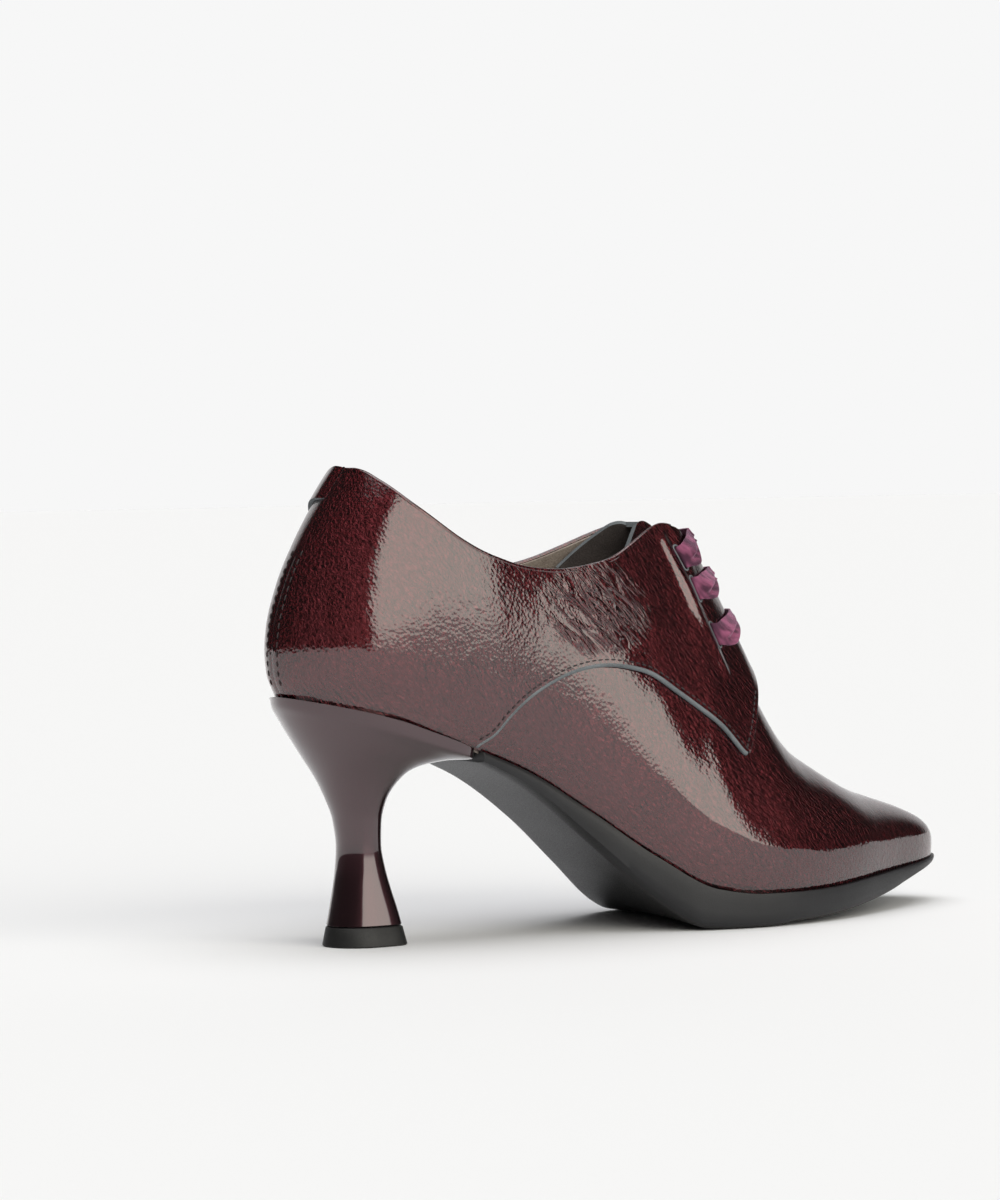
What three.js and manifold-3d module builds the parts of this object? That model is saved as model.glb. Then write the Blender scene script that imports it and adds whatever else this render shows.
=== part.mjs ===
// Lady's derby shoe for the right foot: laced upper, moulded outsole and spool heel.
// Millimetres. X runs from the back of the seat to the toe, +Y is the inner (medial) side,
// Z is up from the floor. The finished shoe is centred over the origin at the end.

import * as THREE from "three";
import { mergeVertices } from "three/addons/utils/BufferGeometryUtils.js";
import Module from "manifold-3d";

const wasm = await Module();
wasm.setup();

// Driving dimensions: the last
const LAST_LENGTH = 226;
const BALL_WIDTH = 79;
const SEAT_HEIGHT = 70.2;
const TOE_SPRING = 4.4;
const INSTEP_HEIGHT = 110;
const COLLAR_HEIGHT = 64;
const TOE_DRIFT = 4.5;
const BACK_CAP = 29;
const TOE_CAP = 40;

// Driving dimensions: upper, tongue and insole
const UPPER_WALL = 1.6;
const QUARTER_STEP = 1.3;
const FACING_LIFT = 1.4;
const FACING_GAP = 20;
const TAB_STEP = 1.2;
const SLOT_LENGTH = 8;
const SLOT_WIDTH = 2;
const TONGUE_THICKNESS = 2;
const INSOLE_THICKNESS = 2.5;

// Driving dimensions: outsole, heel, top lift and lace
const SOLE_THICKNESS = 9.3;
const SOLE_OVERHANG = 1.6;
const ARCH_OVERHANG = 0.4;
const TREAD_SPRING = 11.6;
const HEEL_SEAT_LENGTH = 52;
const HEEL_SEAT_WIDTH = 50;
const HEEL_RIM = 1.2;
const TOP_LIFT_HEIGHT = 5.5;
const LACE_WIDTH = 7;
const LACE_THICKNESS = 1.2;

// Clearance between pieces that touch in the real shoe
const GAP = 0.3;

// Derived heights and places
const BALL_HEIGHT = SOLE_THICKNESS + GAP;
const HEEL_LIFT = SEAT_HEIGHT - BALL_HEIGHT;
const SOLE_START = HEEL_SEAT_LENGTH - HEEL_RIM + GAP;
const LACE_ROOM = LACE_THICKNESS + 4 * GAP;
const FAR = 60;
const HIGH = 2 * SEAT_HEIGHT + INSTEP_HEIGHT;

// Facets along and around each form
const LAST_STATIONS = 42;
const SOLE_STATIONS = 34;
const HEEL_FACETS = 28;

function table(columns, rows) {
  return rows.map((row) => Object.fromEntries(row.map((value, k) => [columns[k], value])));
}

// Sections of the last. "at" is a share of LAST_LENGTH, heelLift of HEEL_LIFT, toeLift of
// TOE_SPRING. Half widths (outer and inner side) at the feather line and at the widest
// girth, the girth's height and the flat top's half width are shares of BALL_WIDTH.
// "round" is the exponent of the curve from girth to ridge.
const SECTIONS = table(
  ["at", "heelLift", "toeLift", "featherOut", "featherIn", "girthOut", "girthIn", "belly", "top", "round"],
  [
    [0.000, 1.000, 0.00, 0.304, 0.291, 0.354, 0.323, 0.215, 0.139, 2.30],
    [0.100, 0.901, 0.00, 0.310, 0.304, 0.367, 0.348, 0.228, 0.139, 2.30],
    [0.210, 0.754, 0.00, 0.297, 0.291, 0.367, 0.352, 0.253, 0.114, 2.20],
    [0.299, 0.615, 0.00, 0.285, 0.259, 0.361, 0.335, 0.278, 0.095, 2.00],
    [0.383, 0.416, 0.00, 0.310, 0.259, 0.380, 0.335, 0.304, 0.089, 1.75],
    [0.462, 0.200, 0.00, 0.370, 0.304, 0.430, 0.373, 0.278, 0.089, 1.40],
    [0.538, 0.036, 0.00, 0.443, 0.392, 0.487, 0.443, 0.228, 0.095, 1.20],
    [0.600, 0.003, 0.00, 0.481, 0.449, 0.513, 0.481, 0.177, 0.095, 1.15],
    [0.662, 0.000, 0.00, 0.476, 0.475, 0.501, 0.500, 0.152, 0.063, 1.35],
    [0.715, 0.000, 0.05, 0.448, 0.475, 0.471, 0.494, 0.127, 0.006, 1.70],
    [0.794, 0.000, 0.30, 0.380, 0.430, 0.400, 0.449, 0.114, 0.000, 2.00],
    [0.874, 0.000, 0.55, 0.289, 0.354, 0.304, 0.371, 0.101, 0.000, 2.10],
    [0.945, 0.000, 0.80, 0.278, 0.354, 0.291, 0.367, 0.089, 0.000, 2.20],
    [1.000, 0.000, 1.00, 0.278, 0.354, 0.291, 0.367, 0.076, 0.000, 2.20],
  ],
);

// Ridge of the last: height above the feather line as a share of INSTEP_HEIGHT
const RIDGE = table(["at", "height"], [
  [0.000, 0.725], [0.378, 0.940], [0.467, 1.009], [0.538, 0.984], [0.573, 0.900], [0.608, 0.789],
  [0.635, 0.690], [0.662, 0.572], [0.688, 0.466], [0.715, 0.391], [0.759, 0.317], [0.794, 0.269],
  [0.834, 0.225], [0.874, 0.193], [0.918, 0.159], [0.945, 0.135], [0.967, 0.112], [0.985, 0.082],
  [0.996, 0.051], [1.000, 0.023],
]);

// Lean of the back: forward shift by height above the seat, both shares of COLLAR_HEIGHT
const LEAN = table(["at", "shift"], [
  [0.000, 0.000], [0.102, -0.038], [0.192, -0.044], [0.294, -0.034], [0.481, 0.022],
  [0.684, 0.125], [0.880, 0.253], [0.989, 0.336], [1.247, 0.547],
]);
const LEAN_REACH = 0.42 * LAST_LENGTH;

// Top line of the collar: share of LAST_LENGTH, heights as shares of COLLAR_HEIGHT above
// the seat on the outer and inner side
const COLLAR = table(["at", "riseOut", "riseIn"], [
  [-0.040, 1.015, 1.015], [0.088, 1.010, 1.008], [0.099, 0.975, 0.968], [0.107, 0.925, 0.912],
  [0.129, 0.832, 0.810], [0.173, 0.705, 0.675], [0.211, 0.623, 0.590], [0.246, 0.573, 0.545],
  [0.284, 0.536, 0.515], [0.336, 0.520, 0.505], [0.392, 0.542, 0.530], [0.427, 0.572, 0.560],
  [0.467, 0.633, 0.615], [0.503, 0.688, 0.670], [0.528, 0.711, 0.700], [0.550, 0.696, 0.690],
  [0.566, 0.664, 0.664], [0.580, 0.640, 0.640],
]);

// Edge of the quarters in side view, from the seat along the lower edge to the tab's tip and
// up the facing: share of LAST_LENGTH, and of the section's height from feather to ridge
const QUARTER_EDGE = table(["at", "height"], [
  [0.205, -0.060], [0.213, 0.000], [0.235, 0.058], [0.254, 0.132], [0.280, 0.207], [0.317, 0.289],
  [0.352, 0.358], [0.387, 0.410], [0.423, 0.444], [0.458, 0.465], [0.492, 0.470], [0.527, 0.470],
  [0.562, 0.459], [0.586, 0.437], [0.594, 0.436], [0.601, 0.462], [0.618, 0.568], [0.633, 0.694],
  [0.652, 0.900], [0.655, 1.040], [0.650, 1.150],
]);

// Opening between the facings in plan: share of LAST_LENGTH, half width as a share of FACING_GAP
const THROAT = table(["at", "half"], [
  [0.480, 0.70], [0.510, 0.70], [0.527, 0.68], [0.546, 0.60], [0.570, 0.53], [0.600, 0.50],
  [0.625, 0.48], [0.640, 0.36], [0.646, 0.18],
]);

// Dog-tail tab folded to the inner side at the back: shares of LAST_LENGTH and of
// COLLAR_HEIGHT above the seat, round at its front end
const TAB = table(["at", "rise"], [
  [-0.050, 0.880], [0.060, 0.840], [0.110, 0.700], [0.145, 0.600], [0.167, 0.575], [0.184, 0.600],
  [0.188, 0.650], [0.175, 0.760], [0.120, 1.040], [-0.050, 1.060],
]);

// Outline of the tongue in side view: shares of LAST_LENGTH and of COLLAR_HEIGHT over the seat
const TONGUE_OUTLINE = table(["at", "rise"], [
  [0.454, 0.583], [0.485, 0.653], [0.520, 0.716], [0.556, 0.755], [0.640, 0.720], [0.680, 0.300],
  [0.680, -0.100], [0.635, -0.060],
]);

// Lace slots on each facing: share of LAST_LENGTH and of the section's height, and the
// share of LAST_LENGTH where the lace crosses the middle of the throat
const SLOTS = table(["at", "height", "cross"], [
  [0.545, 0.853, 0.588], [0.560, 0.801, 0.619], [0.581, 0.734, 0.648],
]);

// Outsole by share of LAST_LENGTH: thickness on the outer and inner side before the tread's
// flat spot as shares of SOLE_THICKNESS, tread rise of TREAD_SPRING, bevel of SOLE_THICKNESS
const SOLE = table(["at", "thickOut", "thickIn", "rise", "bevel"], [
  [0.220, 0.31, 0.20, 0.00, 0.35], [0.281, 0.42, 0.22, 0.00, 0.45], [0.338, 0.64, 0.28, 0.00, 0.45],
  [0.396, 0.94, 0.40, 0.00, 0.40], [0.445, 1.17, 0.50, 0.00, 0.35], [0.471, 1.28, 0.56, 0.00, 0.30],
  [0.500, 1.36, 0.63, 0.00, 0.25], [0.524, 1.46, 0.73, 0.00, 0.18], [0.551, 1.46, 0.93, 0.00, 0.16],
  [0.582, 1.46, 1.22, 0.00, 0.14], [0.609, 1.46, 1.46, 0.00, 0.14], [0.648, 1.40, 1.40, 0.07, 0.14],
  [0.697, 1.40, 1.40, 0.11, 0.14], [0.743, 1.40, 1.40, 0.18, 0.14], [0.794, 1.40, 1.40, 0.29, 0.14],
  [0.847, 1.40, 1.40, 0.43, 0.14], [0.887, 1.40, 1.40, 0.60, 0.16], [0.918, 1.40, 1.40, 0.72, 0.18],
  [0.960, 1.40, 1.40, 0.87, 0.20], [1.000, 1.40, 1.40, 1.00, 0.22],
]);

// Side of the sole from its top edge down: inset as a share of the bevel, drop of the thickness
const SOLE_SIDE = table(["inset", "drop"], [[0.0, 0.0], [-0.12, 0.30], [0.0, 0.84], [1.0, 1.0]]);

// Heel sections from the top lift to the seat. Lengths along X are shares of
// HEEL_SEAT_LENGTH from the back of the seat, heights of SEAT_HEIGHT, half widths of
// HEEL_SEAT_WIDTH. "widest" is the share of the section's length where it is widest.
const HEEL = table(
  ["back", "backUp", "front", "frontUp", "half", "widest", "backRound", "frontRound"],
  [
    [0.255, 0.000, 0.682, 0.000, 0.214, 0.50, 2.0, 4.5],
    [0.296, 0.137, 0.638, 0.137, 0.184, 0.50, 2.0, 4.2],
    [0.319, 0.225, 0.608, 0.225, 0.164, 0.50, 2.0, 3.6],
    [0.337, 0.306, 0.585, 0.306, 0.150, 0.50, 2.0, 3.0],
    [0.346, 0.399, 0.569, 0.399, 0.142, 0.50, 2.0, 2.6],
    [0.329, 0.501, 0.574, 0.499, 0.153, 0.50, 2.0, 2.5],
    [0.290, 0.584, 0.598, 0.577, 0.184, 0.50, 2.0, 2.5],
    [0.242, 0.662, 0.646, 0.641, 0.228, 0.50, 2.0, 2.7],
    [0.169, 0.751, 0.712, 0.690, 0.292, 0.51, 2.0, 3.0],
    [0.096, 0.835, 0.790, 0.713, 0.360, 0.52, 1.9, 3.4],
    [0.025, 0.925, 0.892, 0.726, 0.432, 0.54, 1.9, 4.0],
    [-0.013, 0.976, 0.973, 0.731, 0.482, 0.56, 1.85, 7.0],
    [-0.023, 1.040, 0.977, 0.830, 0.496, 0.56, 1.85, 8.0],
  ],
);

// Path of a lace bar over one facing: share of the way from its slot to the middle of the
// throat, and height of its middle over the facing in lace thicknesses
const LACE_RISE = table(["way", "lift"], [
  [0.12, 1.0], [0.32, 1.0], [0.52, 1.0], [0.70, 1.0], [0.84, 1.0], [0.94, 1.0],
]);

// Monotone cubic curve through one column of a table
function columnValue(rows, column, at) {
  const last = rows.length - 1;
  const x = THREE.MathUtils.clamp(at, rows[0].at, rows[last].at);
  let k = 0;
  while (k < last - 1 && x > rows[k + 1].at) k += 1;
  const width = (i) => rows[i + 1].at - rows[i].at;
  const slope = (i) => (rows[i + 1][column] - rows[i][column]) / width(i);
  const tangent = (i) => {
    if (i === 0) return slope(0);
    if (i === last) return slope(last - 1);
    const before = slope(i - 1);
    const after = slope(i);
    if (before * after <= 0) return 0;
    const weightBefore = 2 * width(i) + width(i - 1);
    const weightAfter = width(i) + 2 * width(i - 1);
    return (weightBefore + weightAfter) / (weightBefore / before + weightAfter / after);
  };
  const h = width(k);
  const s = (x - rows[k].at) / h;
  const rise = s * s * (3 - 2 * s);
  const ends = rows[k][column] * (1 - rise) + rows[k + 1][column] * rise;
  return ends + h * (tangent(k) * s * (1 - s) ** 2 - tangent(k + 1) * s * s * (1 - s));
}

function smoothStep(from, to, value) {
  return THREE.MathUtils.smoothstep(value, from, to);
}

function featherHeight(x) {
  const at = x / LAST_LENGTH;
  const heel = HEEL_LIFT * columnValue(SECTIONS, "heelLift", at);
  return BALL_HEIGHT + heel + TOE_SPRING * columnValue(SECTIONS, "toeLift", at);
}

function ridgeHeight(x) {
  return featherHeight(x) + INSTEP_HEIGHT * columnValue(RIDGE, "height", x / LAST_LENGTH);
}

// Round ends of the plan: the width's share left at x, and the outline's normal there
function endCap(x, halfWidth) {
  const ends = [
    { reach: BACK_CAP, into: BACK_CAP - x, power: 1.75, way: -1 },
    { reach: TOE_CAP, into: x - (LAST_LENGTH - TOE_CAP), power: 1.85, way: 1 },
  ];
  for (const end of ends) {
    if (end.into <= 0) continue;
    const u = Math.min(end.into / end.reach, 1);
    const share = (1 - u ** end.power) ** (1 / end.power);
    const along = u ** (end.power - 1) / end.reach;
    const across = share ** (end.power - 1) / halfWidth;
    const length = Math.hypot(along, across);
    return { share, nx: (end.way * along) / length, ny: across / length };
  }
  return { share: 1, nx: 0, ny: 1 };
}

// Point on the last, grown outward by "grow". t runs from the feather line (0) over the
// girth to the ridge (1); side is -1 on the outer side and 1 on the inner.
function lastPoint(x, t, side, grow) {
  const girthShare = 0.22;
  const at = x / LAST_LENGTH;
  const name = side < 0 ? "Out" : "In";
  const girth = BALL_WIDTH * columnValue(SECTIONS, `girth${name}`, at);
  const feather = BALL_WIDTH * columnValue(SECTIONS, `feather${name}`, at);
  const cap = endCap(x, girth);
  const low = feather * cap.share + grow * cap.ny;
  const wide = girth * cap.share + grow * cap.ny;
  const top = Math.max(0, BALL_WIDTH * columnValue(SECTIONS, "top", at) * cap.share + 0.6 * grow * cap.ny);
  const slope = Math.min(2, Math.abs(ridgeHeight(x + 1) - ridgeHeight(x - 1)) / 2);
  const foot = featherHeight(x);
  const ridge = ridgeHeight(x) + grow * Math.hypot(1, slope) * (1 - 0.6 * Math.max(0, cap.nx));
  const belly = foot + Math.min(BALL_WIDTH * columnValue(SECTIONS, "belly", at), (ridge - foot) / 2);
  let y;
  let z;
  if (t < girthShare) {
    y = low + (wide - low) * Math.sin((t / girthShare) * Math.PI / 2);
    z = foot + (belly - foot) * (t / girthShare);
  } else {
    const angle = ((t - girthShare) / (1 - girthShare)) * Math.PI / 2;
    const power = 2 / columnValue(SECTIONS, "round", at);
    y = top + (Math.max(wide, top) - top) * Math.max(0, Math.cos(angle)) ** power;
    z = belly + (ridge - belly) * Math.sin(angle) ** power;
  }
  const fade = Math.max(0, 1 - x / LEAN_REACH) ** 1.6;
  const lean = COLLAR_HEIGHT * columnValue(LEAN, "shift", (z - SEAT_HEIGHT) / COLLAR_HEIGHT) * fade;
  const drift = TOE_DRIFT * Math.max(0, (at - 0.644) / 0.354) ** 1.6;
  return new THREE.Vector3(x + grow * cap.nx + lean, side * y + drift, z);
}

// The t at which the grown last reaches height z in the section at x
function lastAtLevel(x, z, side, grow) {
  let low = 0;
  let high = 1;
  for (let k = 0; k < 30; k += 1) {
    const middle = (low + high) / 2;
    if (lastPoint(x, middle, side, grow).z < z) low = middle;
    else high = middle;
  }
  return low;
}

// The t at a share of the section's height
function lastAtHeight(x, height, side) {
  const foot = featherHeight(x);
  return lastAtLevel(x, foot + height * (ridgeHeight(x) - foot), side, 0);
}

// The quarters lie over the vamp. At the back the vamp runs inside them.
function backShare(x) {
  return smoothStep(0.09 * LAST_LENGTH, 0.245 * LAST_LENGTH, x);
}

function vampGrow(x) {
  return QUARTER_STEP * (backShare(x) - 1);
}

function quarterGrow(x, t) {
  const facing = smoothStep(0.46 * LAST_LENGTH, 0.56 * LAST_LENGTH, x) * smoothStep(0.5, 0.8, t);
  return QUARTER_STEP * backShare(x) + FACING_LIFT * facing;
}

// Closed solid through rings of points; an end ring whose two halves meet needs no lid
function loft(rings, { lids }) {
  const count = rings[0].length;
  const positions = rings.flat().flatMap((p) => [p.x, p.y, p.z]);
  const faces = [];
  for (let i = 0; i + 1 < rings.length; i += 1) {
    for (let j = 0; j < count; j += 1) {
      const a = i * count + j;
      const b = i * count + ((j + 1) % count);
      faces.push([a, b, b + count], [a, b + count, a + count]);
    }
  }
  const endRings = [];
  if (lids.includes("first")) endRings.push({ start: 0, flip: true });
  if (lids.includes("last")) endRings.push({ start: (rings.length - 1) * count, flip: false });
  for (const { start, flip } of endRings) {
    const middle = new THREE.Vector3();
    for (let j = 0; j < count; j += 1) middle.add(rings[start / count][j]);
    middle.divideScalar(count);
    const centre = positions.length / 3;
    positions.push(middle.x, middle.y, middle.z);
    for (let j = 0; j < count; j += 1) {
      const a = start + j;
      const b = start + ((j + 1) % count);
      faces.push(flip ? [b, a, centre] : [a, b, centre]);
    }
  }
  const geometry = new THREE.BufferGeometry();
  geometry.setAttribute("position", new THREE.Float32BufferAttribute(positions, 3));
  geometry.setIndex(faces.flat());
  return solid(geometry);
}

// Solid of a geometry, turned right side out
function solid(geometry) {
  const bare = geometry.clone();
  bare.deleteAttribute("normal");
  bare.deleteAttribute("uv");
  const merged = mergeVertices(bare, 1e-4);
  const position = merged.getAttribute("position").array;
  const index = merged.getIndex().array;
  const corner = (k) => new THREE.Vector3().fromArray(position, 3 * k);
  const faces = [];
  let volume = 0;
  for (let k = 0; k < index.length; k += 3) {
    const [a, b, c] = index.slice(k, k + 3);
    if (a === b || b === c || c === a) continue;
    faces.push([a, b, c]);
    volume += corner(a).dot(corner(b).cross(corner(c)));
  }
  const turned = volume < 0 ? faces.map(([a, b, c]) => [a, c, b]) : faces;
  const mesh = { numProp: 3, vertProperties: Float32Array.from(position), triVerts: Uint32Array.from(turned.flat()) };
  return new wasm.Manifold(new wasm.Mesh(mesh));
}

function intersection(first, ...others) {
  return others.reduce((whole, other) => whole.intersect(other), first);
}

function difference(first, ...others) {
  return others.reduce((whole, other) => whole.subtract(other), first);
}

function union(first, ...others) {
  return others.reduce((whole, other) => whole.add(other), first);
}

// Prism of an outline drawn in side view, from y = from to y = to
function sidePrism(outline, from, to) {
  const shape = new THREE.Shape(outline);
  const geometry = new THREE.ExtrudeGeometry(shape, { depth: to - from, bevelEnabled: false });
  geometry.rotateX(Math.PI / 2);
  geometry.translate(0, to, 0);
  return solid(geometry);
}

// Prism of an outline drawn in plan, from z = from to z = to
function planPrism(outline, from, to) {
  const shape = new THREE.Shape(outline);
  const geometry = new THREE.ExtrudeGeometry(shape, { depth: to - from, bevelEnabled: false });
  geometry.translate(0, 0, from);
  return solid(geometry);
}

function splinePoints(points, count) {
  return new THREE.SplineCurve(points).getPoints(count);
}

// Stations close together at both ends
function stations(from, to, count) {
  const list = [];
  for (let k = 0; k <= count; k += 1) {
    list.push(from + (to - from) * (0.5 - 0.5 * Math.cos((Math.PI * k) / count)));
  }
  return list;
}

// Solid of the last, grown by grow(x, t) and carried down by "drop" below the feather line
function lastForm(grow, drop) {
  const lowSteps = 4;
  const highSteps = 12;
  const rises = [];
  for (let k = 0; k < lowSteps; k += 1) rises.push((0.22 * k) / lowSteps);
  for (let k = 0; k <= highSteps; k += 1) rises.push(0.22 + (0.78 * k) / highSteps);
  const rings = stations(0, LAST_LENGTH, LAST_STATIONS).map((x) => {
    const outer = rises.map((t) => lastPoint(x, t, -1, grow(x, t)));
    const inner = rises.map((t) => lastPoint(x, t, 1, grow(x, t)));
    const down = new THREE.Vector3(0, 0, -drop);
    const low = drop > 0 ? [inner[0].clone().add(down), outer[0].clone().add(down)] : [];
    return [...outer, ...inner.reverse(), ...low];
  });
  return loft(rings, { lids: [] });
}

function collarCutter() {
  const half = (column, from, to) => {
    const line = COLLAR.map((row) => (
      new THREE.Vector2(row.at * LAST_LENGTH, SEAT_HEIGHT + row[column] * COLLAR_HEIGHT)
    ));
    const top = [
      new THREE.Vector2(line.at(-1).x, HIGH),
      new THREE.Vector2(line[0].x, HIGH),
    ];
    return sidePrism([...splinePoints(line, 60), ...top], from, to);
  };
  return union(half("riseOut", -FAR, 0), half("riseIn", 0, FAR));
}

function throatCutter() {
  const side = THROAT.map((row) => new THREE.Vector2(row.at * LAST_LENGTH, row.half * FACING_GAP));
  const curve = splinePoints(side, 24);
  const mirrored = curve.map((p) => new THREE.Vector2(p.x, -p.y)).reverse();
  const lowest = ridgeHeight(THROAT.at(-1).at * LAST_LENGTH) - FACING_GAP;
  return planPrism([...curve, ...mirrored], lowest, HIGH);
}

// Outline of one quarter, closed around the back of the shoe
function quarterPrism() {
  const edge = QUARTER_EDGE.map((row) => {
    const x = row.at * LAST_LENGTH;
    const foot = featherHeight(x);
    return new THREE.Vector2(x, foot + row.height * (ridgeHeight(x) - foot));
  });
  const around = [
    new THREE.Vector2(edge.at(-1).x, HIGH),
    new THREE.Vector2(-FAR, HIGH),
    new THREE.Vector2(-FAR, SEAT_HEIGHT - HEEL_LIFT / 2),
    new THREE.Vector2(edge[0].x, SEAT_HEIGHT - HEEL_LIFT / 2),
  ];
  return sidePrism([...splinePoints(edge, 56), ...around], -FAR, FAR);
}

function tabPrism() {
  const outline = TAB.map((row) => (
    new THREE.Vector2(row.at * LAST_LENGTH, SEAT_HEIGHT + row.rise * COLLAR_HEIGHT)
  ));
  return sidePrism(splinePoints(outline, 30), -GAP, FAR);
}

function facingPoint(x, t, side) {
  return lastPoint(x, t, side, quarterGrow(x, t));
}

// Directions on the facing at a point: out of it, along the row of slots and across to the throat
function facingFrame(x, t, side) {
  const step = 0.01;
  const forward = facingPoint(x + 1, t, side).sub(facingPoint(x - 1, t, side));
  const uphill = facingPoint(x, t, side).sub(facingPoint(x, t - step, side));
  const out = new THREE.Vector3().crossVectors(forward, uphill).multiplyScalar(-side).normalize();
  const [first, , last] = SLOTS.map((slot) => {
    const slotX = slot.at * LAST_LENGTH;
    return facingPoint(slotX, lastAtHeight(slotX, slot.height, side), side);
  });
  const row = last.sub(first);
  const along = row.addScaledVector(out, -row.dot(out)).normalize();
  const across = new THREE.Vector3().crossVectors(along, out).multiplyScalar(side);
  return { out, along, across };
}

// Place of a lace slot: its section and t on the last, its centre and its directions
function slotFrame(index, side) {
  const x = SLOTS[index].at * LAST_LENGTH;
  const t = lastAtHeight(x, SLOTS[index].height, side);
  return { x, t, centre: facingPoint(x, t, side), ...facingFrame(x, t, side) };
}

function slotCutter(index, side) {
  const { centre, out, along } = slotFrame(index, side);
  const depth = 4 * (UPPER_WALL + QUARTER_STEP);
  const straight = (SLOT_LENGTH - SLOT_WIDTH) / 2;
  const shape = new THREE.Shape();
  shape.absarc(straight, 0, SLOT_WIDTH / 2, -Math.PI / 2, Math.PI / 2, false);
  shape.absarc(-straight, 0, SLOT_WIDTH / 2, Math.PI / 2, 1.5 * Math.PI, false);
  const geometry = new THREE.ExtrudeGeometry(shape, { depth, bevelEnabled: false, curveSegments: 4 });
  geometry.translate(0, 0, -depth / 2);
  const side3 = new THREE.Vector3().crossVectors(out, along);
  geometry.applyMatrix4(new THREE.Matrix4().makeBasis(along, side3, out).setPosition(centre));
  return solid(geometry);
}

function makeUpper() {
  const vamp = lastForm(vampGrow, 0);
  const quarters = intersection(lastForm(quarterGrow, 0), quarterPrism());
  const tab = intersection(lastForm((x, t) => quarterGrow(x, t) + TAB_STEP, 0), tabPrism());
  const inside = lastForm((x) => vampGrow(x) - UPPER_WALL, 3 * UPPER_WALL);
  const slots = [];
  for (let k = 0; k < SLOTS.length; k += 1) {
    for (const side of [-1, 1]) slots.push(slotCutter(k, side));
  }
  return difference(union(vamp, quarters, tab), inside, collarCutter(), throatCutter(), ...slots);
}

// The tongue lies under the facings with room for the lace, and closes up to the vamp at its root
function makeTongue() {
  const depth = (x) => {
    const room = 1 - smoothStep(0.615 * LAST_LENGTH, 0.655 * LAST_LENGTH, x);
    return UPPER_WALL + GAP + (LACE_ROOM - GAP) * room;
  };
  const outline = TONGUE_OUTLINE.map((row) => (
    new THREE.Vector2(row.at * LAST_LENGTH, SEAT_HEIGHT + row.rise * COLLAR_HEIGHT)
  ));
  const outer = lastForm((x) => -depth(x), 0);
  const inner = lastForm((x) => -depth(x) - TONGUE_THICKNESS, 2 * TONGUE_THICKNESS);
  return difference(intersection(outer, sidePrism(outline, -FAR, FAR)), inner);
}

function makeInsole() {
  const rings = stations(0, LAST_LENGTH, SOLE_STATIONS).map((x) => {
    const grow = vampGrow(x) - UPPER_WALL - 1.5 * GAP;
    const outer = lastPoint(x, 0, -1, grow);
    const inner = lastPoint(x, 0, 1, grow);
    const up = new THREE.Vector3(0, 0, INSOLE_THICKNESS);
    return [outer, outer.clone().add(up), inner.clone().add(up), inner];
  });
  return loft(rings, { lids: [] });
}

// Height of the tread near the outer (-1) or inner (1) edge of the sole
function treadHeight(x, side) {
  const at = x / LAST_LENGTH;
  const thickness = columnValue(SOLE, side < 0 ? "thickOut" : "thickIn", at);
  const arch = featherHeight(x) - GAP - SOLE_THICKNESS * thickness;
  return Math.max(0, arch) + TREAD_SPRING * columnValue(SOLE, "rise", at);
}

function makeOutsole() {
  const rings = stations(SOLE_START, LAST_LENGTH, SOLE_STATIONS).map((x) => {
    const at = x / LAST_LENGTH;
    const top = featherHeight(x) - GAP;
    const bevel = SOLE_THICKNESS * columnValue(SOLE, "bevel", at);
    const ball = smoothStep(0.35, 0.55, at) * (1 - 0.8 * smoothStep(0.85, 1, at));
    const overhang = ARCH_OVERHANG + (SOLE_OVERHANG - ARCH_OVERHANG) * ball;
    const edge = (side) => SOLE_SIDE.map(({ inset, drop }) => {
      const point = lastPoint(x, 0, side, overhang - inset * bevel);
      return point.setZ(top - drop * (top - treadHeight(x, side)));
    });
    return [...edge(-1), ...edge(1).reverse()];
  });
  return loft(rings, { lids: ["first"] });
}

// Horizontal ring of the heel, tilted from its back to its front height
function heelRing(row) {
  const length = (row.front - row.back) * HEEL_SEAT_LENGTH;
  const ring = [];
  for (let k = 0; k < HEEL_FACETS; k += 1) {
    const angle = (2 * Math.PI * k) / HEEL_FACETS;
    const front = Math.cos(angle) > 0;
    const power = 2 / (front ? row.frontRound : row.backRound);
    const reach = front ? 1 - row.widest : -row.widest;
    const along = row.widest + reach * Math.abs(Math.cos(angle)) ** power;
    const across = Math.sign(Math.sin(angle)) * Math.abs(Math.sin(angle)) ** power;
    ring.push(new THREE.Vector3(
      row.back * HEEL_SEAT_LENGTH + along * length,
      across * row.half * HEEL_SEAT_WIDTH,
      SEAT_HEIGHT * (row.backUp + (row.frontUp - row.backUp) * along),
    ));
  }
  return ring;
}

// The space over the feather line, lowered by the clearance
function overFeather() {
  const line = stations(0, HEEL_SEAT_LENGTH, 16).map((x) => new THREE.Vector2(x, featherHeight(x) - GAP));
  const slope = featherHeight(0) - featherHeight(1);
  const back = new THREE.Vector2(-FAR, line[0].y + FAR * slope);
  const front = new THREE.Vector2(line.at(-1).x + FAR, line.at(-1).y);
  const top = [new THREE.Vector2(front.x, HIGH), new THREE.Vector2(back.x, HIGH)];
  return sidePrism([back, ...line, front, ...top], -FAR, FAR);
}

function makeHeel() {
  const rows = HEEL.slice(1);
  const foot = heelFoot(TOP_LIFT_HEIGHT + GAP);
  return difference(loft([foot, ...rows.map(heelRing)], { lids: ["first", "last"] }), overFeather());
}

// Ring across the heel's foot at height z, between the two lowest heel sections
function heelFoot(z) {
  const share = z / (HEEL[1].backUp * SEAT_HEIGHT);
  const low = heelRing(HEEL[0]);
  const high = heelRing(HEEL[1]);
  return low.map((point, k) => point.clone().lerp(high[k], share).setZ(z));
}

function makeTopLift() {
  return loft([heelFoot(0), heelFoot(TOP_LIFT_HEIGHT)], { lids: ["first", "last"] });
}

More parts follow.
